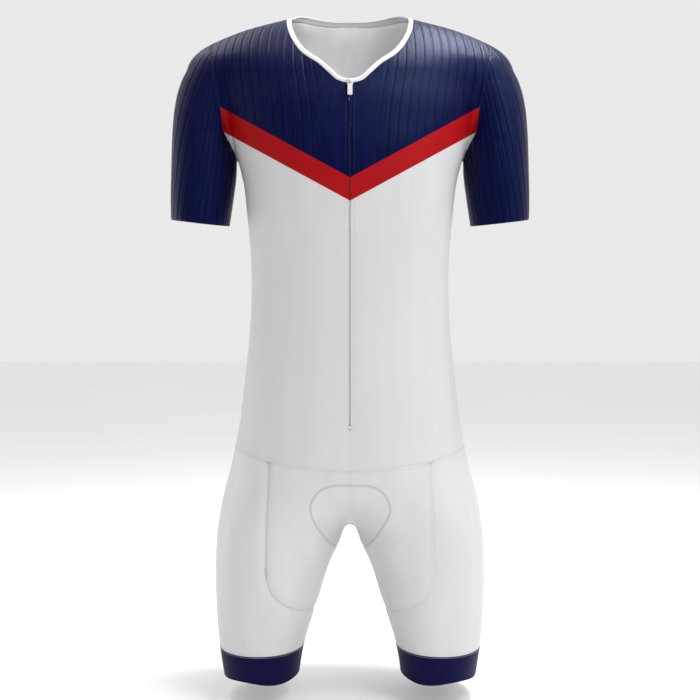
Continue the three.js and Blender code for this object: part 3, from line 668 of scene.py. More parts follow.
def places(cells, fine, *extra):
    """Even places along a seam, fine for each cell, with some extra ones."""
    even = np.arange(cells * fine + 1) / fine
    clear = [x for x in even if all(abs(x - e) > 0.3 / fine for e in extra) or x in (0, cells)]
    return np.array(sorted({*clear, *extra}))


def cuff_edge(turn):
    """The cuff of the left sleeve, from the underarm forwards."""
    angle = turn * 2 * math.pi
    p = np.stack([202 - 42 * np.cos(angle), -12 - 50 * np.sin(angle), np.full_like(angle, -268)], -1)
    for _ in range(6):
        p = settle(p)
        p[:, 2] = CUFF - CUFF_FALL_IN * (242 - p[:, 0]) + CUFF_FALL_FRONT * p[:, 1]
    return p


def leg_edge(turn, height):
    """A closed edge round the left leg, from its inner side forwards."""
    angle = turn * 2 * math.pi
    p = np.stack([119 - 58 * np.cos(angle), -68 * np.sin(angle), np.full_like(angle, -860)], -1)
    for _ in range(6):
        p[:, 2] = height(p)
        p = settle(p)
    p[:, 2] = height(p)
    return p


def hem_height(p):
    """The leg hem, level behind and slightly waved in front."""
    front = smoothstep(-p[:, 1], 10, 50)
    return HEM - HEM_WAVE * np.sin((120 - p[:, 0]) / 16) * front


def band_height(p):
    """The level seam at the top of a leg band."""
    return np.full(len(p), float(BAND_TOP))


def distance_to(path, p):
    """Distance from points to a line of straight stretches."""
    path = np.array(path, float)
    best = np.full(p.shape[:-1], 1e9)
    for a, b in zip(path[:-1], path[1:]):
        along = b - a
        t = np.clip(((p - a) @ along) / (along @ along), 0, 1)
        best = np.minimum(best, np.linalg.norm(p - (a + t[..., None] * along), axis=-1))
    return best


# A crease hangs a little between its ends, and the cloth swells beside it
SAG = 0.06
SHOULDERS = 0.35


def hollow(off, width):
    """The share of a soft groove's depth at a distance from its middle."""
    return np.exp(-((off / width) ** 2))


def creased(p):
    """How far the soft creases move the cloth, out of the form."""
    out = np.zeros(p.shape[:-1])
    for side, start, end, width, depth in CREASES:
        a, b = np.array(start, float), np.array(end, float)
        along = b - a
        for mirror in (1, -1):
            if (side == "left" and mirror < 0) or (side == "right" and mirror > 0):
                continue
            q = p * (mirror, 1, 1)
            t = ((q - a) @ along) / (along @ along)
            path = a + np.clip(t, -0.1, 1.1)[..., None] * along
            path[..., 2] -= SAG * np.linalg.norm(along) * np.sin(np.pi * np.clip(t, 0, 1))
            d = np.linalg.norm(q - path, axis=-1)
            taper = smoothstep(t, -0.15, 0.3) * (1 - smoothstep(t, 0.55, 1.15))
            out -= depth * taper * (hollow(d, width) - SHOULDERS * hollow(d, 2 * width))
    return out


RIB_DISH = 0.12


def over_chevron(p):
    """Height over the line that the chevron's edges follow."""
    nearer = 1 - np.abs(p[..., 1]) / EYE_DISTANCE
    return (p[..., 2] - EYE_HEIGHT - CHEVRON_CLIMB * np.abs(p[..., 0])) / nearer + EYE_HEIGHT


def rib_profile(s, pitch, groove):
    """Height of the ribs, from 0 in a groove to 1 on a rib, which is slightly dished."""
    off = pitch * np.abs(s / pitch - np.round(s / pitch))
    return 1 - hollow(off, groove) - RIB_DISH * (off / pitch * 2) ** 2


def lengths(grid, axis):
    """Length along a grid's rows or columns, from their start."""
    step = np.linalg.norm(np.diff(grid, axis=axis), axis=-1)
    pad = [(0, 0), (0, 0)]
    pad[axis] = (1, 0)
    return np.pad(np.cumsum(step, axis=axis), pad)


RIM_STEPS = 3
SAME_PLACE = 0.00001
ALL_SIDES = ("bottom", "right", "top", "left")


class Wall:
    """One cloth panel: a grid of its outer face, its thickness and its rounded cut edges."""

    def __init__(self, grid, edges, relief=0.0, thick=0.9, rims=ALL_SIDES, smooth_inside=False):
        self.rims, self.flipped = rims, False
        self.normals = outward(grid)
        moved = grid.copy()
        ends = {
            "bottom": (np.s_[0], np.s_[1]),
            "top": (np.s_[-1], np.s_[-2]),
            "left": (np.s_[:, 0], np.s_[:, 1]),
            "right": (np.s_[:, -1], np.s_[:, -2]),
        }
        for side, distance in edges.items():
            edge, inside = ends[side]
            reach = np.asarray(distance, float)
            moved[edge] += unit(grid[inside] - grid[edge]) * reach.reshape(-1, 1)
        self.form = moved
        self.outer = moved + self.normals * np.asarray(relief)[..., None]
        level = 0.0 if smooth_inside else np.asarray(relief)
        self.inner = moved + self.normals * (level - np.asarray(thick))[..., None]
        self.uv = np.stack([lengths(grid, 1), lengths(grid, 0)], -1) * MM
        self.values = {}

    def mirrored(self):
        """The same panel for the wearer's other side."""
        other = copy.copy(self)
        for face in ("form", "outer", "inner", "normals"):
            setattr(other, face, getattr(self, face) * np.array((-1, 1, 1)))
        other.flipped = not self.flipped
        return other

    def raise_by(self, height):
        """Moves the cloth out of the form by a height at each point."""
        self.outer = self.outer + self.normals * height[..., None]
        self.inner = self.inner + self.normals * height[..., None]
        return self

    def size(self):
        """The widest and the longest measure of the cloth, in metres."""
        middle = (self.outer + self.inner) / 2
        return lengths(middle, 1)[:, -1].max() * MM, lengths(middle, 0)[-1].max() * MM

    def mesh(self):
        """Points, faces, and for each point its UV, values and whether it is on the inside."""
        rows, columns = self.outer.shape[:2]
        count = rows * columns
        index = np.arange(count).reshape(rows, columns)
        quads = np.stack([index[:-1, :-1], index[:-1, 1:], index[1:, 1:], index[1:, :-1]], -1)
        quads = quads.reshape(-1, 4)
        points = [self.outer.reshape(-1, 3), self.inner.reshape(-1, 3)]
        uv = [self.uv.reshape(-1, 2)] * 2
        sources = [index.reshape(-1)] * 2
        faces = [quads, quads[:, ::-1] + count]
        inside = [np.zeros(len(quads), int), np.ones(len(quads), int)]
        sides = {"bottom": index[0], "top": index[-1], "left": index[:, 0], "right": index[:, -1]}
        total = 2 * count
        flat_outer, flat_inner = points[0], points[1]
        flat_form = self.form.reshape(-1, 3)
        flat_normal = self.normals.reshape(-1, 3)
        for rim in self.rims:
            side, first, end = (rim, 0, None) if isinstance(rim, str) else rim
            line = sides[side][first:end]
            if side in ("top", "left"):
                line = line[::-1]
            along = unit(np.gradient(flat_form[line], axis=0))
            out = np.cross(along, flat_normal[line])
            if self.flipped:
                out = -out
            middle = (flat_outer[line] + flat_inner[line]) / 2
            half = np.linalg.norm(flat_outer[line] - flat_inner[line], axis=1, keepdims=True) / 2
            previous = line
            for k in range(1, RIM_STEPS + 1):
                angle = math.pi * k / (RIM_STEPS + 1)
                turned = flat_normal[line] * half * math.cos(angle) + out * half * math.sin(angle)
                points.append(middle + turned)
                uv.append(self.uv.reshape(-1, 2)[line])
                sources.append(line)
                now = np.arange(total, total + len(line))
                faces.append(np.stack([previous[:-1], now[:-1], now[1:], previous[1:]], -1))
                inside.append(np.zeros(len(line) - 1, int))
                total += len(line)
                previous = now
            last = line + count
            faces.append(np.stack([previous[:-1], last[:-1], last[1:], previous[1:]], -1))
            inside.append(np.ones(len(line) - 1, int))
        faces = np.concatenate(faces)
        if self.flipped:
            faces = faces[:, ::-1]
        source = np.concatenate(sources)
        values = {
            name: np.broadcast_to(value, (rows, columns)).reshape(-1)[source]
            for name, value in self.values.items()
        }
        return np.concatenate(points) * MM, faces, np.concatenate(uv), np.concatenate(inside), values


def linked(name, data):
    """A mesh, a light or a camera, put into the scene as an object."""
    piece = bpy.data.objects.new(name, data)
    bpy.context.scene.collection.objects.link(piece)
    return piece


def make_object(name, walls, finishes):
    """One cloth piece from its walls, with its UV map, its values and its two faces' finishes."""
    points, faces, uvs, inside, values = [], [], [], [], {}
    start = 0
    for wall in walls:
        p, f, uv, side, extra = wall.mesh()
        points.append(p)
        faces.append(f + start)
        uvs.append(uv)
        inside.append(side)
        for key, v in extra.items():
            values.setdefault(key, []).append(v)
        start += len(p)
    points, faces, uvs = np.concatenate(points), np.concatenate(faces), np.concatenate(uvs)
    mesh = bpy.data.meshes.new(name)
    mesh.from_pydata(points.tolist(), [], faces.tolist())
    layer = mesh.uv_layers.new(name="cloth")
    loops = np.empty(len(mesh.loops), int)
    mesh.loops.foreach_get("vertex_index", loops)
    layer.data.foreach_set("uv", uvs[loops].astype(np.float32).ravel())
    for key, v in values.items():
        attribute = mesh.attributes.new(key, "FLOAT", "POINT")
        attribute.data.foreach_set("value", np.concatenate(v).astype(np.float32))
    mesh.polygons.foreach_set("material_index", np.concatenate(inside))
    mesh.polygons.foreach_set("use_smooth", np.ones(len(faces), bool))
    for finish in finishes:
        mesh.materials.append(finish_of(finish))
    shape = bmesh.new()
    shape.from_mesh(mesh)
    bmesh.ops.remove_doubles(shape, verts=shape.verts, dist=SAME_PLACE)
    bmesh.ops.holes_fill(shape, edges=shape.edges, sides=2 * RIM_STEPS + 6)
    shape.to_mesh(mesh)
    shape.free()
    mesh.validate()
    mesh.update()
    return linked(name, mesh)


def tied(piece, body, node, slot):
    """Ties a piece to its body and hides the solid that it stands for; slot is not used."""
    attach(piece, body)
    if node:
        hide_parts(node)


def declare(piece, walls, node, slot):
    """Ties a cloth piece to the frame and works out the size that it was cut to, which is not kept."""
    tied(piece, "suit", node, slot)
    width = max(wall.size()[0] for wall in walls)
    length = sum(wall.size()[1] for wall in walls)


# Lines of the three threads, kept until the stitches are sewn
STITCH_LINES = {"white": [], "navy": [], "printed": []}
STITCH_LIFT = 0.1
INSIDE_ROWS = {"bottom": np.s_[1], "top": np.s_[-2], "left": np.s_[:, 1], "right": np.s_[:, -2]}


def stitch_row(wall, places_on_it, colour="printed"):
    """Keeps a line just over a panel's outer face; the printed thread changes colour on its way."""
    line = wall.outer[places_on_it] + wall.normals[places_on_it] * STITCH_LIFT
    STITCH_LINES[colour].append(line * MM)


def panel_lines(wall, sides, colour="printed"):
    """The stitch rows just inside a panel's edges."""
    for side in sides:
        stitch_row(wall, INSIDE_ROWS[side], colour)


# How far the ribs bend towards the neck over the shoulder, and spread down the back
RIB_BEND = 18
RIB_SPREAD = 6
# The ribs rise over this height above the chevron and fade between these two places by the zip
RIB_RISE = (-2, 7)
RIB_FADE = (28, 62)
FADED = 0.9


def rib_coordinate_front(p):
    """Distance across the ribs, which bend towards the neck as they climb over the shoulder."""
    bend = RIB_BEND * np.clip((p[..., 1] + 75) / 85, 0, 1.1) ** 2
    return np.abs(p[..., 0]) - section(LEAN, "lean", p[..., 2]) + bend


def rib_coordinate_back(p):
    """The same on the back, where the ribs spread slightly on their way down."""
    bend = RIB_BEND * (1 - smoothstep(p[..., 1], 12, 80))
    return np.abs(p[..., 0]) + bend + RIB_SPREAD * smoothstep(-p[..., 2], 60, 200)


def ribbed_share(p):
    """How fully the ribs stand up: not below the yoke, and hardly near the zip."""
    front = smoothstep(-p[..., 1], 0, 20)
    near_zip = front * (1 - smoothstep(np.abs(p[..., 0]), *RIB_FADE))
    low, high = (CHEVRON_TOP + rise for rise in RIB_RISE)
    return smoothstep(over_chevron(p), low, high) * (1 - FADED * near_zip)


def printed_wall(grid, s, edges):
    """A ribbed and printed panel, whose ribs follow the distance s across them."""
    cloth = bpy.context.scene.suit_cloth
    share = ribbed_share(grid)
    profile = rib_profile(s, cloth.rib_pitch / MM, cloth.groove / MM)
    relief = cloth.rib_height / MM * share * profile
    wall = Wall(grid, edges, relief, cloth.thick / MM, smooth_inside=True)
    # ribbed: how fully the ribs stand up, which also sets how much shade is painted in their grooves
    wall.values = {"rib": s, "ribbed": share}
    return wall


SOCKETS = {
    "rough": "Roughness",
    "gloss": "Specular IOR Level",
    "sheen": "Sheen Weight",
    "sheen_rough": "Sheen Roughness",
    "coat": "Coat Weight",
    "coat_rough": "Coat Roughness",
}


class Finish:
    """A material under way: its shader, and short ways to add and join nodes."""

    def __init__(self, name, **settings):
        self.material = bpy.data.materials.new(name)
        self.material.use_nodes = True
        self.nodes = self.material.node_tree.nodes
        self.links = self.material.node_tree.links
        self.shader = self.nodes["Principled BSDF"]
        for socket, value in settings.items():
            self.shader.inputs[SOCKETS[socket]].default_value = value

    def put(self, value, socket):
        """Joins a node's output to a socket, or sets the socket to a plain value."""
        if isinstance(value, bpy.types.NodeSocket):
            self.links.new(value, socket)
        else:
            socket.default_value = value

    def node(self, kind, inputs=(), **settings):
        """A new node, with its settings and the inputs that are named or numbered."""
        node = self.nodes.new(kind)
        for key, value in settings.items():
            setattr(node, key, value)
        for socket, value in dict(inputs).items():
            self.put(value, node.inputs[socket])
        return node

    def maths(self, operation, *inputs):
        return self.node("ShaderNodeMath", enumerate(inputs), operation=operation).outputs[0]

    def ramp(self, value, low, high, start=0.0, end=1.0):
        """A soft change from start to end as value goes from low to high."""
        inputs = enumerate((value, low, high, start, end))
        return self.node("ShaderNodeMapRange", inputs, interpolation_type="SMOOTHSTEP").outputs[0]

    def mix(self, share, a, b):
        """The colour a where share is 0 and b where it is 1."""
        return self.node("ShaderNodeMix", {0: share, 6: a, 7: b}, data_type="RGBA").outputs[2]

    def toned(self, colour, tone):
        """A colour made a little lighter or darker by a tone near 1."""
        colour = colour if isinstance(colour, bpy.types.NodeSocket) else colour[:3]
        return self.node("ShaderNodeVectorMath", {0: colour, "Scale": tone}, operation="SCALE").outputs[0]

    def attribute(self, name):
        return self.node("ShaderNodeAttribute", attribute_name=name).outputs["Fac"]

    def places(self):
        """Places on the piece, in the suit's own frame."""
        return self.node("ShaderNodeTexCoord").outputs["Object"]

    def separated(self, vector):
        return self.node("ShaderNodeSeparateXYZ", {0: vector}).outputs

    def soft_bands(self, across, down, low, high, seed=0.0):
        """Faint long variations of tone, narrow across the cloth and long down it."""
        scale = {"Vector": self.places(), "Scale": (across, across, down), "Location": (seed,) * 3}
        place = self.node("ShaderNodeMapping", scale).outputs[0]
        noise = self.node("ShaderNodeTexNoise", {"Vector": place, "Scale": 1.0, "Detail": 3.0})
        return self.ramp(noise.outputs[0], 0.3, 0.7, low, high)

    def shade(self, socket, value):
        """Gives one of the shader's inputs its value."""
        self.put(value, self.shader.inputs[socket])

    def raised(self, height, distance, strength):
        """Fine relief that is too small for the mesh."""
        inputs = {"Height": height, "Distance": distance, "Strength": strength}
        self.shade("Normal", self.node("ShaderNodeBump", inputs).outputs[0])

    def knitted(self, wale=0.0009, course=0.0007, depth=0.00012, strength=0.5):
        """The loops of a fine jersey: columns of V shapes, wale apart and course high."""
        place = self.separated(self.node("ShaderNodeUVMap", uv_map="cloth").outputs[0])
        slant = self.maths("PINGPONG", self.maths("DIVIDE", place[0], wale), 0.5)
        rise = self.maths("ADD", self.maths("DIVIDE", place[1], course), slant)
        loop = self.maths("MULTIPLY", self.maths("PINGPONG", rise, 0.5), 2.0)
        gap = self.ramp(slant, 0.0, 0.22)
        self.raised(self.maths("MULTIPLY", loop, gap), depth, strength)

    def groove_shade_mask(self, pitch, low, high):
        """0 in a groove between two ribs, 1 on a rib: it places the shade that is painted in the grooves.
        """
        turns = self.maths("DIVIDE", self.attribute("rib"), pitch)
        off = self.maths("MULTIPLY", self.maths("PINGPONG", turns, 0.5), pitch)
        return self.ramp(off, low, high)

    def chevron_masks(self):
        """1 in the yoke, and 1 in the yoke or the chevron, with crisp printed edges."""
        x, y, z = self.separated(self.places())
        depth = self.maths("DIVIDE", self.maths("ABSOLUTE", y), EYE_DISTANCE * MM)
        nearer = self.maths("SUBTRACT", 1.0, depth)
        climb = self.maths("MULTIPLY", self.maths("ABSOLUTE", x), CHEVRON_CLIMB)
        rise = self.maths("SUBTRACT", self.maths("SUBTRACT", z, EYE_HEIGHT * MM), climb)
        over = self.maths("ADD", self.maths("DIVIDE", rise, nearer), EYE_HEIGHT * MM)
        edges = (CHEVRON_TOP * MM, CHEVRON_FOOT * MM)
        return [self.ramp(over, edge - PRINT_EDGE, edge + PRINT_EDGE) for edge in edges]

    def printed(self, white, red, navy):
        """Three colours in the places of the body, the chevron and the yoke."""
        in_yoke, in_print = self.chevron_masks()
        return self.mix(in_yoke, self.mix(in_print, white, red), navy)


# Half the width over which one printed colour gives way to the next
PRINT_EDGE = 0.0003
# The tint of light glancing off the navy cloth, and how strong that light is
NAVY_GLOSS = (0.2, 0.42, 1.0, 1.0)
NAVY_SHINE = 0.13
WHITE_SHINE = 0.1
NAVY_ROUGH = 0.34


def rgba(colour, factor=1.0):
    return (colour[0] * factor, colour[1] * factor, colour[2] * factor, 1.0)


def printed_cloth(ink, cloth):
    """White stretch knit, printed with a navy yoke and a red chevron under it, with painted shade in the
    yoke's rib grooves.
    """
    f = Finish("printed_knit")
    # Painted shade: the navy is darkened to 0.35 of itself in the rib grooves, as far as the ribs stand
    # up
    groove = f.maths("SUBTRACT", 1.0, f.groove_shade_mask(cloth.rib_pitch / MM, 0.25, 1.5))
    rib = f.maths("SUBTRACT", 1.0, f.maths("MULTIPLY", groove, f.attribute("ribbed")))
    navy = f.mix(rib, rgba(ink.navy, 0.35), rgba(ink.navy))
    navy = f.toned(navy, f.soft_bands(260, 5, 0.65, 1.4))
    red = f.toned(rgba(ink.red), f.soft_bands(30, 6, 0.94, 1.05, 4.0))
    white = f.toned(rgba(ink.white), f.soft_bands(55, 2.5, 0.975, 1.015, 2.0))
    f.shade("Base Color", f.printed(white, red, navy))
    in_yoke = f.chevron_masks()[0]
    f.shade("Roughness", f.ramp(in_yoke, 0, 1, 0.52, NAVY_ROUGH))
    f.shade("Specular Tint", f.mix(in_yoke, (1.0, 1.0, 1.0, 1.0), NAVY_GLOSS))
    f.shade("Specular IOR Level", f.ramp(in_yoke, 0, 1, WHITE_SHINE, NAVY_SHINE))
    f.knitted()
    return f.material


def sleeve_cloth(ink):
    """Navy ribbed knit, with painted shade in its grooves."""
    f = Finish("ribbed_navy_knit", rough=NAVY_ROUGH, gloss=NAVY_SHINE)
    f.shade("Specular Tint", NAVY_GLOSS)
    # Painted shade: the navy is halved in the grooves between the ribs
    navy = f.mix(f.groove_shade_mask(1.0, 0.025, 0.13), rgba(ink.navy, 0.5), rgba(ink.navy))
    f.shade("Base Color", f.toned(navy, f.soft_bands(220, 5, 0.78, 1.22, 1.0)))
    f.knitted()
    return f.material


def white_cloth(ink):
    """White knit of the shorts, greyer along the pad's stitched outline."""
    f = Finish("white_knit", rough=0.5, gloss=0.35, sheen=0.08, sheen_rough=0.4)
    white = f.toned(rgba(ink.white), f.soft_bands(55, 2.5, 0.975, 1.015, 3.0))
    line = f.ramp(f.attribute("outline"), 0.9, 2.3)
    f.shade("Base Color", f.mix(line, rgba(ink.white, 0.78), white))
    f.knitted()
    return f.material


def plain_cloth(ink, name, colour, wale, course, depth, settings):
    """A plain knit with its own loop size."""
    f = Finish(name, **settings)
    dyed = rgba(getattr(ink, colour))
    f.shade("Base Color", f.toned(dyed, f.soft_bands(45, 12, 0.95, 1.04, 5.0)))
    f.knitted(wale, course, depth, 0.6)
    return f.material


def thread(ink, name, colour, printed=False):
    """Sewing thread, printed over with the cloth where it is white on navy, with painted shade in bands
    along its fine twist.
    """
    f = Finish(name, rough=0.45, gloss=0.4)
    dyed = rgba(getattr(ink, colour))
    if printed:
        dyed = f.printed(dyed, rgba(ink.red), rgba(ink.navy, 1.6))
    # Painted shade: the colour is darkened to 0.85 in bands that stand for the twist's plies
    twist = f.maths("SINE", f.maths("MULTIPLY", f.separated(f.places())[2], 9000.0))
    f.shade("Base Color", f.toned(dyed, f.ramp(twist, -1, 1, 0.85, 1.0)))
    return f.material


def coil_plastic(ink):
    """The zip's coil, dyed by the print that runs over it."""
    f = Finish("zip_coil", rough=0.35, gloss=0.5)
    dyed = f.printed(rgba(ink.zip_teeth), rgba(ink.red, 0.35), rgba(ink.navy))
    f.shade("Base Color", f.toned(dyed, f.soft_bands(300, 300, 0.9, 1.05)))
    return f.material


def enamel(ink):
    """White enamel on cast metal, with the slight unevenness of sprayed paint."""
    f = Finish("white_enamel", rough=0.28, gloss=0.5, coat=0.5, coat_rough=0.12)
    f.shade("Base Color", f.toned(rgba(ink.enamel), f.soft_bands(400, 400, 0.95, 1.02)))
    noise = f.node("ShaderNodeTexNoise", {"Vector": f.places(), "Scale": 1500.0})
    f.raised(noise.outputs[0], 0.00003, 0.3)
    return f.material


def length(name, description, default):
    return FloatProperty(name=name, description=description, default=default, unit="LENGTH")


def tint(name, description, *default):
    return FloatVectorProperty(name=name, description=description, default=default, subtype="COLOR")


class ClothSettings(PropertyGroup):
    """Sizes of the cloth and its sewing"""

    thick: length("Cloth", "Thickness of the knit", 0.0009)
    rib_pitch: length("Rib pitch", "From groove to groove", 0.0119)
    rib_height: length("Rib height", "Rib over groove", 0.0007)
    groove: length("Groove", "Half-width of a groove", 0.0012)
    stitch: length("Stitch", "Length of a stitch", 0.0026)
    fine: IntProperty(
        name="Fineness", description="Points across each cell of the fronts", default=14, min=4, max=20
    )


class InkSettings(PropertyGroup):
    """Colours of the print, the thread and the hardware"""

    navy: tint("Navy", "Yoke and sleeves", 0.0018, 0.0018, 0.027)
    band: tint("Band", "Leg bands", 0.0026, 0.0026, 0.034)
    red: tint("Red", "Chevron", 0.29, 0.001, 0.003)
    white: tint("White", "Body and shorts", 0.5, 0.502, 0.506)
    # The inner face is the cloth's own whitish reverse, made much lighter than the outer white as painted
    # light for the shaded inside of the suit
    inside: tint("Inside", "Inner face", 0.83, 0.832, 0.837)
    binding: tint("Binding", "Neck binding", 0.53, 0.533, 0.538)
    pad: tint("Pad", "Seat pad", 0.5, 0.52, 0.56)
    zip_teeth: tint("Zip teeth", "Coil", 0.55, 0.555, 0.56)
    enamel: tint("Enamel", "Slider and tab", 0.5, 0.505, 0.515)


class StageSettings(PropertyGroup):
    """The studio round the suit"""

    floor: tint("Floor", "Floor colour", 0.94, 0.94, 0.94)
    distance: length("Camera distance", "From the mid-plane", 1.32)
    height: length("Camera height", "Level with the waist", -0.4416)
    focal: FloatProperty(
        name="Focal length", description="On a 36 mm sensor", default=49.19, unit="CAMERA"
    )
    key: FloatProperty(
        name="Key light", description="Power of the large light", default=16.0, unit="POWER"
    )


# Plain knits: name, colour, the width, height and depth of their loops, and their surface
PLAIN_KNITS = {
    "inside": ("knit_inside", "inside", 0.0009, 0.0007, 0.0001, {"rough": 0.7, "sheen": 0.2}),
    "band": ("band_knit", "band", 0.0012, 0.0012, 0.0002, {"rough": 0.45, "gloss": 0.05}),
    "binding": ("binding_knit", "binding", 0.0008, 0.0008, 0.00015, {"rough": 0.55, "sheen": 0.2}),
    "pad": ("brushed_pad", "pad", 0.0016, 0.0014, 0.0002, {"rough": 0.85, "sheen": 0.4}),
    "tape": ("woven_tape", "white", 0.0006, 0.001, 0.0001, {"rough": 0.6}),
}
THREADS = {
    "white thread": ("white_thread", "white"),
    "navy thread": ("navy_thread", "navy"),
    "printed thread": ("printed_thread", "white", True),
}
FINISHES = {}


def finish_of(name):
    """Each finish is made once, the first time that a piece asks for it."""
    if name in FINISHES:
        return FINISHES[name]
    ink, cloth = bpy.context.scene.suit_ink, bpy.context.scene.suit_cloth
    if name in PLAIN_KNITS:
        FINISHES[name] = plain_cloth(ink, *PLAIN_KNITS[name])
    elif name in THREADS:
        FINISHES[name] = thread(ink, *THREADS[name])
    elif name == "printed":
        FINISHES[name] = printed_cloth(ink, cloth)
    else:
        makers = {"sleeve": sleeve_cloth, "white": white_cloth, "coil": coil_plastic, "enamel": enamel}
        FINISHES[name] = makers[name](ink)
    return FINISHES[name]


# Gap from a cut edge to its seam, the stitch row's distance from it, and a cell's width
EDGE = 0.3
SEAM_LINE = 1.8
CELL = 11.0
ROWS = SIDE_CELLS + ARMHOLE_CELLS
LEG_ROUND = 2 * QUARTER + 2 * CORNER_CELLS
LEFT_AND_RIGHT = ("left", "right")


def both_sides(left):
    """The wall of the wearer's left side and its mirror image."""
    return zip(LEFT_AND_RIGHT, (left, left.mirrored()))


def front_wall():
    """The left upper front, from the zip to the side seam."""
    cloth = bpy.context.scene.suit_cloth
    stitches = (SEAM_LINE / CELL, TOPSTITCH / CELL, 2 * QUARTER - SEAM_LINE / CELL)
    u = places(2 * QUARTER, cloth.fine, *stitches)
    v = places(ROWS, cloth.fine // 2, 0.05, ROWS - 0.05)
    grid = patch(
        Chain(WAIST_FRONT_SEAM, WAIST_SIDE_SEAM),
        Chain(SIDE_SEAM, ARMHOLE_FRONT_SEAM),
        Chain(NECK_FRONT_SEAM, SHOULDER_SEAM),
        Centre(ROWS),
        u,
        v,
    )
    slot = np.where(v < BELOW_ZIP, EDGE, SLOT / 2)
    edges = {"bottom": EDGE, "right": EDGE, "top": EDGE, "left": slot}
    wall = printed_wall(grid, rib_coordinate_front(grid), edges)
    column = int(np.argmin(np.abs(u - TOPSTITCH / CELL)))
    wall.beside_zip = (v >= BELOW_ZIP, column)
    return wall


class SUIT_OT_fronts(Operator):
    """Cut and print the two upper fronts"""

    bl_idname = "suit.fronts"
    bl_label = "Upper fronts"

    def execute(self, context):
        for side, wall in both_sides(front_wall()):
            wall.raise_by(creased(wall.form))
            panel_lines(wall, ("bottom", "right", "top"))
            stitch_row(wall, wall.beside_zip)
            piece = make_object(f"upper_front_{side}", [wall], ("printed", "inside"))
            declare(piece, [wall], f"front_{side}", "printed_cloth")
        return {"FINISHED"}


class SUIT_OT_back(Operator):
    """Cut and print the upper back"""

    bl_idname = "suit.back"
    bl_label = "Upper back"

    def execute(self, context):
        cloth = context.scene.suit_cloth
        u = places(2 * QUARTER, max(cloth.fine - 3, 4), 2 * QUARTER - SEAM_LINE / CELL)
        v = places(ROWS, cloth.fine // 2, 0.05, ROWS - 0.05)
        half = patch(
            Turned(Chain(HIP_SIDE_SEAM, HIP_BACK_SEAM)),
            Chain(SIDE_SEAM, ARMHOLE_BACK_SEAM),
            Chain(Turned(NECK_BACK_SEAM), SHOULDER_SEAM),
            MiddleBack(ROWS),
            u,
            v,
        )
        grid = np.hstack([half[:, :0:-1] * (-1, 1, 1), half])
        wall = printed_wall(grid, rib_coordinate_back(grid), dict.fromkeys(ALL_SIDES, EDGE))
        wall.raise_by(creased(wall.form))
        panel_lines(wall, ALL_SIDES)
        piece = make_object("upper_back", [wall], ("printed", "inside"))
        declare(piece, [wall], "back", "printed_cloth")
        return {"FINISHED"}


# The part of the last cell that the cuff's fold takes, where the ribs are pressed flatter
CUFF_FOLD = 0.1


class SUIT_OT_sleeves(Operator):
    """Cut the two ribbed sleeves"""

    bl_idname = "suit.sleeves"
    bl_label = "Sleeves"

    def execute(self, context):
        cloth = context.scene.suit_cloth
        columns = 4 * ARMHOLE_CELLS
        armhole = Chain(Doubled(ARMHOLE_FRONT_SEAM), Turned(Doubled(ARMHOLE_BACK_SEAM)))
        cuff = Ring(columns, cuff_edge)
        u = places(columns, cloth.fine - 2)
        folded = SLEEVE_CELLS - CUFF_FOLD
        v = places(SLEEVE_CELLS, 6, 0.06, folded)
        grid = tube(armhole, cuff, SLEEVE_CELLS, u, v, 5, power=1.25)
        grid[:, -1] = grid[:, 0]
        s = np.broadcast_to(u, grid.shape[:2])
        ribs = rib_profile(s, 1.0, cloth.groove / MM / CELL)
        at_armhole = smoothstep(v, 0.0, 0.12)
        at_cuff = 1 - 0.7 * smoothstep(v, folded, SLEEVE_CELLS)
        ribs = ribs * at_armhole[:, None] * at_cuff[:, None]
        relief = cloth.rib_height / MM * ribs
        left = Wall(grid, {"bottom": EDGE}, relief, cloth.thick / MM, ("bottom", "top"), True)
        left.values["rib"] = s
        for side, wall in both_sides(left):
            wall.raise_by(creased(wall.form))
            panel_lines(wall, ("bottom",), "navy")
            piece = make_object(f"ribbed_sleeve_{side}", [wall], ("sleeve", "inside"))
            declare(piece, [wall], f"sleeve_{side}", "sleeve_cloth")
        return {"FINISHED"}


def on_left(p):
    """Points brought over to the wearer's left side."""
    return np.concatenate([np.abs(p[..., :1]), p[..., 1:]], -1)


# Half-width and depth of the pad's outline, of the swell beside it, and of the thigh seams' valleys
OUTLINE_WIDTH, OUTLINE_DEPTH = 1.6, 0.7
SWELL_WIDTH, SWELL_HEIGHT = 7, 0.5
VALLEY_WIDTH = 7
VALLEYS = ((THIGH_FRONT, 1.2), (CORNER_FRONT, 1.0), (THIGH_BACK, 1.2), (CORNER_BACK, 1.0))


def outlined(wall):
    """Presses the pad's stitched outline into a panel and keeps each point's distance from it, along
    which the white finish colours the cloth greyer.
    """
    path = settle(curve_at(PAD_OUTLINE, np.linspace(0, 1, 90)))
    off = distance_to(path, on_left(wall.form))
    wall.values["outline"] = off
    swell = SWELL_HEIGHT * hollow(off, SWELL_WIDTH)
    return wall.raise_by(swell - OUTLINE_DEPTH * hollow(off, OUTLINE_WIDTH))


def seam_troughs(wall):
    """The soft valleys along the curved thigh seams."""
    p = on_left(wall.form)
    height = np.zeros(p.shape[:-1])
    for points, depth in VALLEYS:
        off = distance_to(settle(curve_at(points, np.linspace(0, 1, 30))), p)
        height -= depth * hollow(off, VALLEY_WIDTH)
    return wall.raise_by(height)


def shorts_wall(corner, thigh, waist, rise):
    """One panel of the left leg, between the inseam, the thigh seam, the waist and the middle."""
    rows = THIGH_CELLS + CORNER_CELLS
    u = places(QUARTER, 8, 0.14, QUARTER - 0.14)
    v = places(rows, 9, 0.1, rows - 0.1)
    grid = patch(Turned(INSEAM_SEAM), Chain(corner, thigh), waist, Seam(rise, rows), u, v)
    return Wall(grid, dict.fromkeys(ALL_SIDES, EDGE), 0.0, bpy.context.scene.suit_cloth.thick / MM)


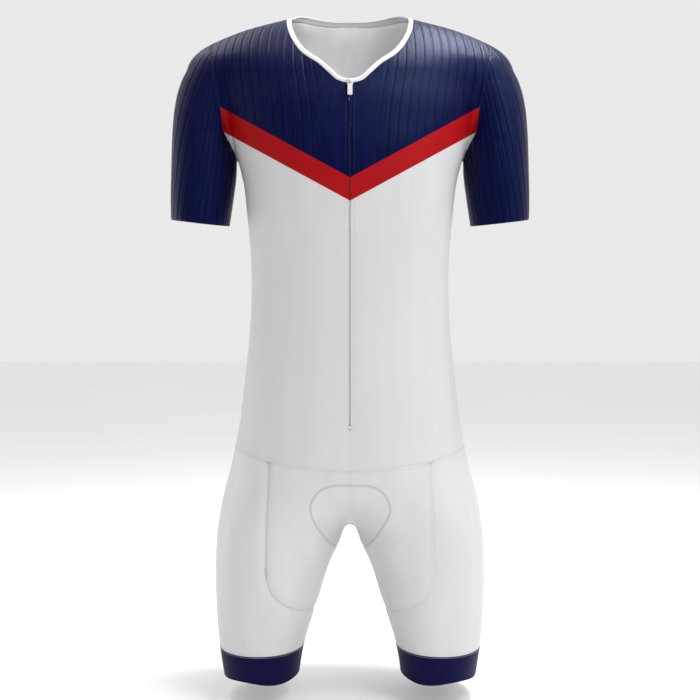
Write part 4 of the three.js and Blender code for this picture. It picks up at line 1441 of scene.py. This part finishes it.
class SUIT_OT_shorts(Operator):
    """Cut the front and back panels of the shorts"""

    bl_idname = "suit.shorts"
    bl_label = "Shorts"

    def execute(self, context):
        panels = {
            "front": (CORNER_FRONT_SEAM, THIGH_FRONT_SEAM, WAIST_FRONT_SEAM, RISE_FRONT),
            "back": (CORNER_BACK_SEAM, THIGH_BACK_SEAM, Turned(HIP_BACK_SEAM), RISE_BACK),
        }
        for name, seams in panels.items():
            for side, wall in both_sides(shorts_wall(*seams)):
                wall.raise_by(creased(wall.form))
                seam_troughs(outlined(wall))
                panel_lines(wall, ALL_SIDES, "white")
                piece = make_object(f"shorts_panel_{name}_{side}", [wall], ("white", "inside"))
                declare(piece, [wall], f"shorts_{name}_{side}", "white_cloth")
        return {"FINISHED"}


# Points in each cell round a leg, and an outline value that is far from the pad
LEG_FINE = 6
FAR_FROM_PAD = 99.0


def leg_seam(height):
    """A closed edge round the left leg at a height that may change on its way."""
    return Ring(LEG_ROUND, lambda turn: leg_edge(turn, height))


class SUIT_OT_thighs(Operator):
    """Cut the outer thigh panels"""

    bl_idname = "suit.thighs"
    bl_label = "Outer thighs"

    def execute(self, context):
        thick = context.scene.suit_cloth.thick / MM
        lower_top = Chain(CORNER_FRONT_SEAM, OUTER_THIGH_SEAM, Turned(CORNER_BACK_SEAM))
        u, v = places(LEG_ROUND, LEG_FINE), places(LOWER_CELLS, 9, 0.06)
        lower = tube(leg_seam(band_height), lower_top, LOWER_CELLS, u, v, 6)
        lower[:, -1] = lower[:, 0]
        upper = patch(
            OUTER_THIGH_SEAM,
            THIGH_BACK_SEAM,
            Chain(WAIST_SIDE_SEAM, HIP_SIDE_SEAM),
            THIGH_FRONT_SEAM,
            places(2 * QUARTER, LEG_FINE),
            places(THIGH_CELLS, 8, THIGH_CELLS - 0.07),
        )
        start, end = CORNER_CELLS * LEG_FINE, (CORNER_CELLS + 2 * QUARTER) * LEG_FINE
        upper[0] = lower[-1, start : end + 1]
        open_top = np.full(lower.shape[1], EDGE)
        open_top[start : end + 1] = 0
        lower_rims = ("bottom", ("top", 0, start + 1), ("top", end, None))
        upper_rims = ("right", "top", "left")
        walls = [
            Wall(lower, {"bottom": EDGE, "top": open_top}, 0.0, thick, lower_rims),
            Wall(upper, dict.fromkeys(upper_rims, EDGE), 0.0, thick, upper_rims),
        ]
        for face in ("form", "normals", "outer", "inner"):
            getattr(walls[1], face)[0] = getattr(walls[0], face)[-1, start : end + 1]
        for side in LEFT_AND_RIGHT:
            # The right leg mirrors the raised left one, so its folds and troughs are deeper
            made = walls if side == "left" else [wall.mirrored() for wall in walls]
            for wall in made:
                wall.values = {"outline": np.full(wall.outer.shape[:2], FAR_FROM_PAD)}
                seam_troughs(wall.raise_by(creased(wall.form)))
            panel_lines(made[0], ("bottom",), "white")
            panel_lines(made[1], upper_rims, "white")
            corner = made[0].outer[-2] * MM
            STITCH_LINES["white"] += [corner[1 : start + 1], corner[end:-1]]
            piece = make_object(f"outer_thigh_{side}", made, ("white", "inside"))
            declare(piece, made, f"thigh_{side}", "white_cloth")
        return {"FINISHED"}


BAND_RISE, BAND_THICK = 0.15, 1.1


class SUIT_OT_bands(Operator):
    """Cut the elastic leg bands"""

    bl_idname = "suit.bands"
    bl_label = "Leg bands"

    def execute(self, context):
        u, v = places(LEG_ROUND, 8), places(2, 9, 0.06, 1.92)
        grid = tube(leg_seam(hem_height), leg_seam(band_height), 2, u, v, 6)
        grid[:, -1] = grid[:, 0]
        left = Wall(grid, {"top": EDGE}, BAND_RISE, BAND_THICK, ("bottom", "top"))
        for side, wall in both_sides(left):
            panel_lines(wall, ("top",), "white")
            piece = make_object(f"elastic_band_{side}", [wall], ("band", "inside"))
            declare(piece, [wall], f"leg_band_{side}", "band_cloth")
        return {"FINISHED"}


# The folded strip: its height and thickness, and the groove that its stitches pull in
BINDING_RISE = 0.7
BINDING_THICK = 1.7
BINDING_ROWS = np.array([0, 0.1, 0.2, 0.35, 0.5, 0.65, 0.8, 0.92, 1.0])
STITCHED_ROW = 2
GROOVE_DEPTH, GROOVE_WIDTH = 0.35, 0.06


class SUIT_OT_binding(Operator):
    """Fold the binding round the neck"""

    bl_idname = "suit.binding"
    bl_label = "Neck binding"

    def execute(self, context):
        cells = 2 * NECK_CELLS
        low = Chain(NECK_FRONT_SEAM, NECK_BACK_SEAM)
        high = Seam(NECK_EDGE, cells)
        t = places(cells, 12)
        rows = BINDING_ROWS
        a, b = low.at(t), high.at(t)
        half = a[None] + (b - a)[None] * rows[:, None, None]
        half[1:-1] = settle(half[1:-1])
        grid = np.hstack([half[:, :-1] * (-1, 1, 1), half[:, ::-1]])
        crown = BINDING_RISE * (0.55 + 0.45 * np.sin(np.pi * rows))[:, None]
        crown = crown - GROOVE_DEPTH * hollow(rows - rows[STITCHED_ROW], GROOVE_WIDTH)[:, None]
        edges = {"bottom": 0.35, "left": SLOT / 2, "right": SLOT / 2, "top": 0.4}
        wall = Wall(grid, edges, np.broadcast_to(crown, grid.shape[:2]), BINDING_THICK)
        stitch_row(wall, STITCHED_ROW, "white")
        piece = make_object("folded_binding", [wall], ("binding", "binding"))
        declare(piece, [wall], "neck_binding", "binding")
        return {"FINISHED"}


# The pad lies this far inside the cloth's face; its thickness in the middle and at its rim
PAD_DEPTH = 2.4
PAD_FULL = 4.4
PAD_RIM = 1.2
# Pressed channels: their depth, and where they run across and along the pad, in cells
CHANNEL = 1.6
SIDE_CHANNEL, SIDE_WIDTH = 1.35, 0.16
CROSS_CHANNELS, CROSS_WIDTH = (5.0, 11.0), 0.22
PAD_ACROSS, PAD_ALONG = 3, 16


class SUIT_OT_pad(Operator):
    """Mould the seat pad inside the crotch"""

    bl_idname = "suit.pad"
    bl_label = "Seat pad"

    def execute(self, context):
        u, v = places(PAD_ACROSS, 8), places(PAD_ALONG, 6)
        half = patch(
            Seam((PAD_MIDDLE[0], PAD_EDGE[0]), PAD_ACROSS),
            Seam(PAD_EDGE, PAD_ALONG),
            Seam((PAD_MIDDLE[-1], PAD_EDGE[-1]), PAD_ACROSS),
            Seam(PAD_MIDDLE, PAD_ALONG),
            u,
            v,
        )
        grid = np.hstack([half[:, :0:-1] * (-1, 1, 1), half])
        across = np.abs(np.concatenate([-u[:0:-1], u]))[None, :]
        along = v[:, None]
        from_end = np.minimum(along, PAD_ALONG - along)
        edge = np.minimum(smoothstep(PAD_ACROSS - across, 0, 0.7), smoothstep(from_end, 0, 1.6))
        channels = hollow(across - SIDE_CHANNEL, SIDE_WIDTH) * smoothstep(from_end, 1, 3)
        for place in CROSS_CHANNELS:
            between = hollow(along - place, CROSS_WIDTH) * (across < SIDE_CHANNEL)
            channels = np.maximum(channels, between)
        thick = PAD_RIM + (PAD_FULL - PAD_RIM) * edge - CHANNEL * channels * edge
        wall = Wall(grid, {}, -np.full(grid.shape[:2], PAD_DEPTH), thick)
        piece = make_object("moulded_seat_pad", [wall], ("pad", "pad"))
        tied(piece, "suit", "seat_pad", "pad")
        return {"FINISHED"}


ROW_INPUTS = (
    ("Geometry", "NodeSocketGeometry"),
    ("Pitch", "NodeSocketFloat"),
    ("Half size", "NodeSocketVector"),
    ("Finish", "NodeSocketMaterial"),
)


def row_tree(name):
    """Small rounded bits along lines: their pitch, their three half-sizes and their finish are inputs."""
    tree = bpy.data.node_groups.new(name, "GeometryNodeTree")
    for label, kind in ROW_INPUTS:
        tree.interface.new_socket(label, in_out="INPUT", socket_type=kind)
    tree.interface.new_socket("Geometry", in_out="OUTPUT", socket_type="NodeSocketGeometry")
    new, link = tree.nodes.new, tree.links.new
    start, end = new("NodeGroupInput"), new("NodeGroupOutput")
    curve = new("GeometryNodeMeshToCurve")
    even = new("GeometryNodeResampleCurve")
    even.mode = "LENGTH"
    ball = new("GeometryNodeMeshUVSphere")
    for label, value in (("Segments", 6), ("Rings", 3), ("Radius", 1.0)):
        ball.inputs[label].default_value = value
    smooth = new("GeometryNodeSetShadeSmooth")
    tangent = new("GeometryNodeInputTangent")
    turn = new("FunctionNodeAlignRotationToVector")
    turn.axis = "X"
    placed = new("GeometryNodeInstanceOnPoints")
    real = new("GeometryNodeRealizeInstances")
    paint = new("GeometryNodeSetMaterial")
    link(start.outputs["Geometry"], curve.inputs[0])
    link(curve.outputs[0], even.inputs["Curve"])
    link(start.outputs["Pitch"], even.inputs["Length"])
    link(even.outputs[0], placed.inputs["Points"])
    link(ball.outputs["Mesh"], smooth.inputs[0])
    link(smooth.outputs[0], placed.inputs["Instance"])
    link(tangent.outputs[0], turn.inputs["Vector"])
    link(turn.outputs[0], placed.inputs["Rotation"])
    link(start.outputs["Half size"], placed.inputs["Scale"])
    link(placed.outputs[0], real.inputs[0])
    link(real.outputs[0], paint.inputs["Geometry"])
    link(start.outputs["Finish"], paint.inputs["Material"])
    link(paint.outputs[0], end.inputs[0])
    return tree


def rows_of(name, lines, tree, pitch, half_size, finish, slot, node=None):
    """Makes real bits along some lines, as one plain mesh on the suit."""
    edges, start = [], 0
    for line in lines:
        edges += [(i, i + 1) for i in range(start, start + len(line) - 1)]
        start += len(line)
    guide = bpy.data.meshes.new(name + "_guide")
    guide.from_pydata(np.concatenate(lines).tolist(), edges, [])
    holder = linked(name + "_guide", guide)
    modifier = holder.modifiers.new("rows", "NODES")
    modifier.node_group = tree
    inputs = {"Pitch": pitch, "Half size": half_size, "Finish": finish_of(finish)}
    for item in tree.interface.items_tree:
        if item.in_out == "INPUT" and item.name in inputs:
            modifier[item.identifier] = inputs[item.name]
    shown = bpy.context.evaluated_depsgraph_get()
    mesh = bpy.data.meshes.new_from_object(holder.evaluated_get(shown))
    bpy.data.objects.remove(holder)
    mesh.name = name
    tied(linked(name, mesh), "suit", node, slot)


# Half-width of a thread, and the share of a stitch's length that shows on each side of its middle
THREAD = 0.00022
STITCH_SHOWS = 0.4
SLOTS = {"white": "white_cloth", "navy": "sleeve_cloth", "printed": "printed_cloth"}


class SUIT_OT_stitches(Operator):
    """Sew the seams with a row of stitches on each side"""

    bl_idname = "suit.stitches"
    bl_label = "Stitches"

    def execute(self, context):
        stitch = context.scene.suit_cloth.stitch
        tree = row_tree("stitches_along_seams")
        half = (stitch * STITCH_SHOWS, THREAD, THREAD)
        for colour, slot in SLOTS.items():
            lines = STITCH_LINES[colour]
            rows_of(f"{colour}_stitches", lines, tree, stitch, half, f"{colour} thread", slot)
        return {"FINISHED"}


# The zip under the cloth's outer face: tapes from x to x, their thickness, and the coil's teeth
ZIP_DEPTH = 1.5
TAPE = (1.4, 13.1)
TAPE_TOP = -101
TAPE_THICK = 0.5
TOOTH_PITCH = 1.25
TOOTH_DEPTH = 1.0
TOOTH_SIDE = 0.6
TOOTH_TOP = -97
TOOTH_HALF = (0.00052, 0.0006, 0.00125)
FRONT = -105


def tooth_line(x):
    """The line of one side's teeth, beside the zip's middle."""
    z = np.linspace(TOOTH_TOP, ZIP_END, 90)
    p = settle_upright(np.stack([np.zeros_like(z), np.full_like(z, FRONT), z], -1))
    p = p - outward(p) * TOOTH_DEPTH
    p[:, 0] = x
    return p


class SUIT_OT_zip(Operator):
    """Weave the zip tapes and set the coil teeth"""

    bl_idname = "suit.zip"
    bl_label = "Zip"

    def execute(self, context):
        across = np.linspace(*TAPE, 12)
        z = np.linspace(ZIP_END + 2, TAPE_TOP, 100)
        grid = np.stack(np.broadcast_arrays(across[None, :], float(FRONT), z[:, None]), -1)
        grid = settle_upright(grid)
        left = Wall(grid, {}, -np.full(grid.shape[:2], ZIP_DEPTH), TAPE_THICK)
        for side, wall in both_sides(left):
            piece = make_object(f"woven_tape_{side}", [wall], ("tape", "tape"))
            declare(piece, [wall], f"zip_tape_{side}", "zip_tape")
        lines = [tooth_line(-TOOTH_SIDE), tooth_line(TOOTH_SIDE)]
        lines[1][:, 2] += TOOTH_PITCH / 2
        lines = [line * MM for line in lines]
        tree = row_tree("teeth_along_zip")
        pitch = TOOTH_PITCH * MM
        rows_of("coil_teeth", lines, tree, pitch, TOOTH_HALF, "coil", "zip_plastic", "zip_teeth")
        return {"FINISHED"}


# How far an edge is rounded on the castings, and the angles of what is rounded and kept sharp
BEVEL = 0.00018
BEVEL_FROM = math.radians(35)
SHARP_FROM = math.radians(30)


def bevelled(name, node, body):
    """A finer copy of a hard piece, its edges rounded as casting leaves them."""
    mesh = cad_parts[node].data.copy()
    mesh.name = name
    shape = bmesh.new()
    shape.from_mesh(mesh)
    bmesh.ops.remove_doubles(shape, verts=shape.verts, dist=0.000005)
    bmesh.ops.dissolve_limit(shape, angle_limit=0.02, verts=shape.verts, edges=shape.edges)
    shape.to_mesh(mesh)
    shape.free()
    piece = linked(name, mesh)
    bevel = piece.modifiers.new("bevel", "BEVEL")
    bevel.width = BEVEL
    bevel.segments = 3
    bevel.limit_method = "ANGLE"
    bevel.angle_limit = BEVEL_FROM
    shown = bpy.context.evaluated_depsgraph_get()
    smooth = bpy.data.meshes.new_from_object(piece.evaluated_get(shown))
    piece.modifiers.clear()
    piece.data = smooth
    smooth.materials.clear()
    smooth.materials.append(finish_of("enamel"))
    smooth.polygons.foreach_set("use_smooth", np.ones(len(smooth.polygons), bool))
    smooth.set_sharp_from_angle(angle=SHARP_FROM)
    tied(piece, body, node, "zip_enamel")


class SUIT_OT_hardware(Operator):
    """Cast the slider, its pull tab and the end stop"""

    bl_idname = "suit.hardware"
    bl_label = "Zip hardware"

    def execute(self, context):
        bevelled("enamel_slider", "zip_slider", "suit")
        bevelled("enamel_pull_tab", "zip_pull_tab", "pull_tab")
        bevelled("enamel_stop", "zip_stop", "suit")
        return {"FINISHED"}


FLOOR_DROP = 0.03
FLOOR_REACH = 40
FLOOR_SIDES = 96
SKY = 0.82
# Soft lights: name, place, aim, size and share of the key light's power
LIGHTS = (
    ("key", (1.5, -1.75, 0.9), (0, 0, -0.35), (0.9, 1.4), 1.05),
    ("chest", (0.75, -0.75, 0.75), (0.09, -0.1, -0.1), (0.45, 0.35), 0.4),
    ("top", (0.55, 0.05, 1.25), (0.12, -0.05, -0.03), (0.5, 0.4), 2.3),
    ("left rim", (-0.75, 0.5, 1.1), (-0.17, 0, -0.05), (0.3, 0.5), 0.25),
    ("hip rim", (-1.7, 0.7, -0.5), (-0.1, 0, -0.6), (0.3, 0.8), 0.4),
)


def soft_light(name, place, aim, size, power):
    """A rectangular light that faces its aim."""
    lamp = bpy.data.lights.new(name, "AREA")
    lamp.shape = "RECTANGLE"
    lamp.size, lamp.size_y = size
    lamp.energy = power
    holder = linked(name, lamp)
    holder.location = place
    away = Vector(aim) - Vector(place)
    holder.rotation_euler = away.to_track_quat("-Z", "Y").to_euler()


class SUIT_OT_stage(Operator):
    """Set the camera, the floor and the lights"""

    bl_idname = "suit.stage"
    bl_label = "Stage"

    def execute(self, context):
        stage = context.scene.suit_stage
        camera = bpy.data.cameras.new("camera")
        camera.sensor_width = 36
        camera.lens = stage.focal
        holder = linked("camera", camera)
        holder.location = (0, -stage.distance, stage.height)
        holder.rotation_euler = (math.pi / 2, 0, 0)
        context.scene.camera = holder

        low = CAD_BOX[0][2] - FLOOR_DROP
        turns = np.linspace(0, 2 * math.pi, FLOOR_SIDES, endpoint=False)
        rim = [(FLOOR_REACH * math.cos(a), FLOOR_REACH * math.sin(a), low) for a in turns]
        mesh = bpy.data.meshes.new("floor")
        mesh.from_pydata(rim, [], [tuple(range(len(rim)))])
        finish = Finish("pale_floor", rough=0.8)
        tone = finish.soft_bands(0.7, 0.7, 0.98, 1.0)
        finish.shade("Base Color", finish.toned(rgba(stage.floor), tone))
        mesh.materials.append(finish.material)
        linked("floor", mesh)

        world = context.scene.world or bpy.data.worlds.new("studio")
        context.scene.world = world
        world.use_nodes = True
        sky = world.node_tree.nodes["Background"]
        sky.inputs["Color"].default_value = (1.0, 1.0, 1.0, 1.0)
        sky.inputs["Strength"].default_value = SKY
        context.scene.view_settings.view_transform = "Standard"
        for name, place, aim, size, share in LIGHTS:
            soft_light(name, place, aim, size, stage.key * share)
        return {"FINISHED"}


OPERATORS = (
    SUIT_OT_stage,
    SUIT_OT_fronts,
    SUIT_OT_back,
    SUIT_OT_sleeves,
    SUIT_OT_shorts,
    SUIT_OT_thighs,
    SUIT_OT_bands,
    SUIT_OT_binding,
    SUIT_OT_pad,
    SUIT_OT_zip,
    SUIT_OT_hardware,
    SUIT_OT_stitches,
)
GROUPS = (
    ("suit_cloth", ClothSettings),
    ("suit_ink", InkSettings),
    ("suit_stage", StageSettings),
)


class SUIT_PT_panel(Panel):
    """Lists the settings and the steps that make the suit"""

    bl_label = "Triathlon suit"
    bl_idname = "SUIT_PT_panel"
    bl_space_type = "VIEW_3D"
    bl_region_type = "UI"
    bl_category = "Suit"

    def draw(self, context):
        for name, group in GROUPS:
            box = self.layout.box()
            for key in group.__annotations__:
                box.prop(getattr(context.scene, name), key)
        for operator in OPERATORS:
            self.layout.operator(operator.bl_idname)


def register():
    for name, group in GROUPS:
        bpy.utils.register_class(group)
        setattr(bpy.types.Scene, name, PointerProperty(type=group))
    for item in (*OPERATORS, SUIT_PT_panel):
        bpy.utils.register_class(item)


def unregister():
    for item in (SUIT_PT_panel, *reversed(OPERATORS)):
        bpy.utils.unregister_class(item)
    for name, group in reversed(GROUPS):
        delattr(bpy.types.Scene, name)
        bpy.utils.unregister_class(group)


def main():
    register()
    for operator in OPERATORS:
        group, name = operator.bl_idname.split(".")
        getattr(getattr(bpy.ops, group), name)()


if __name__ == "__main__":
    main()
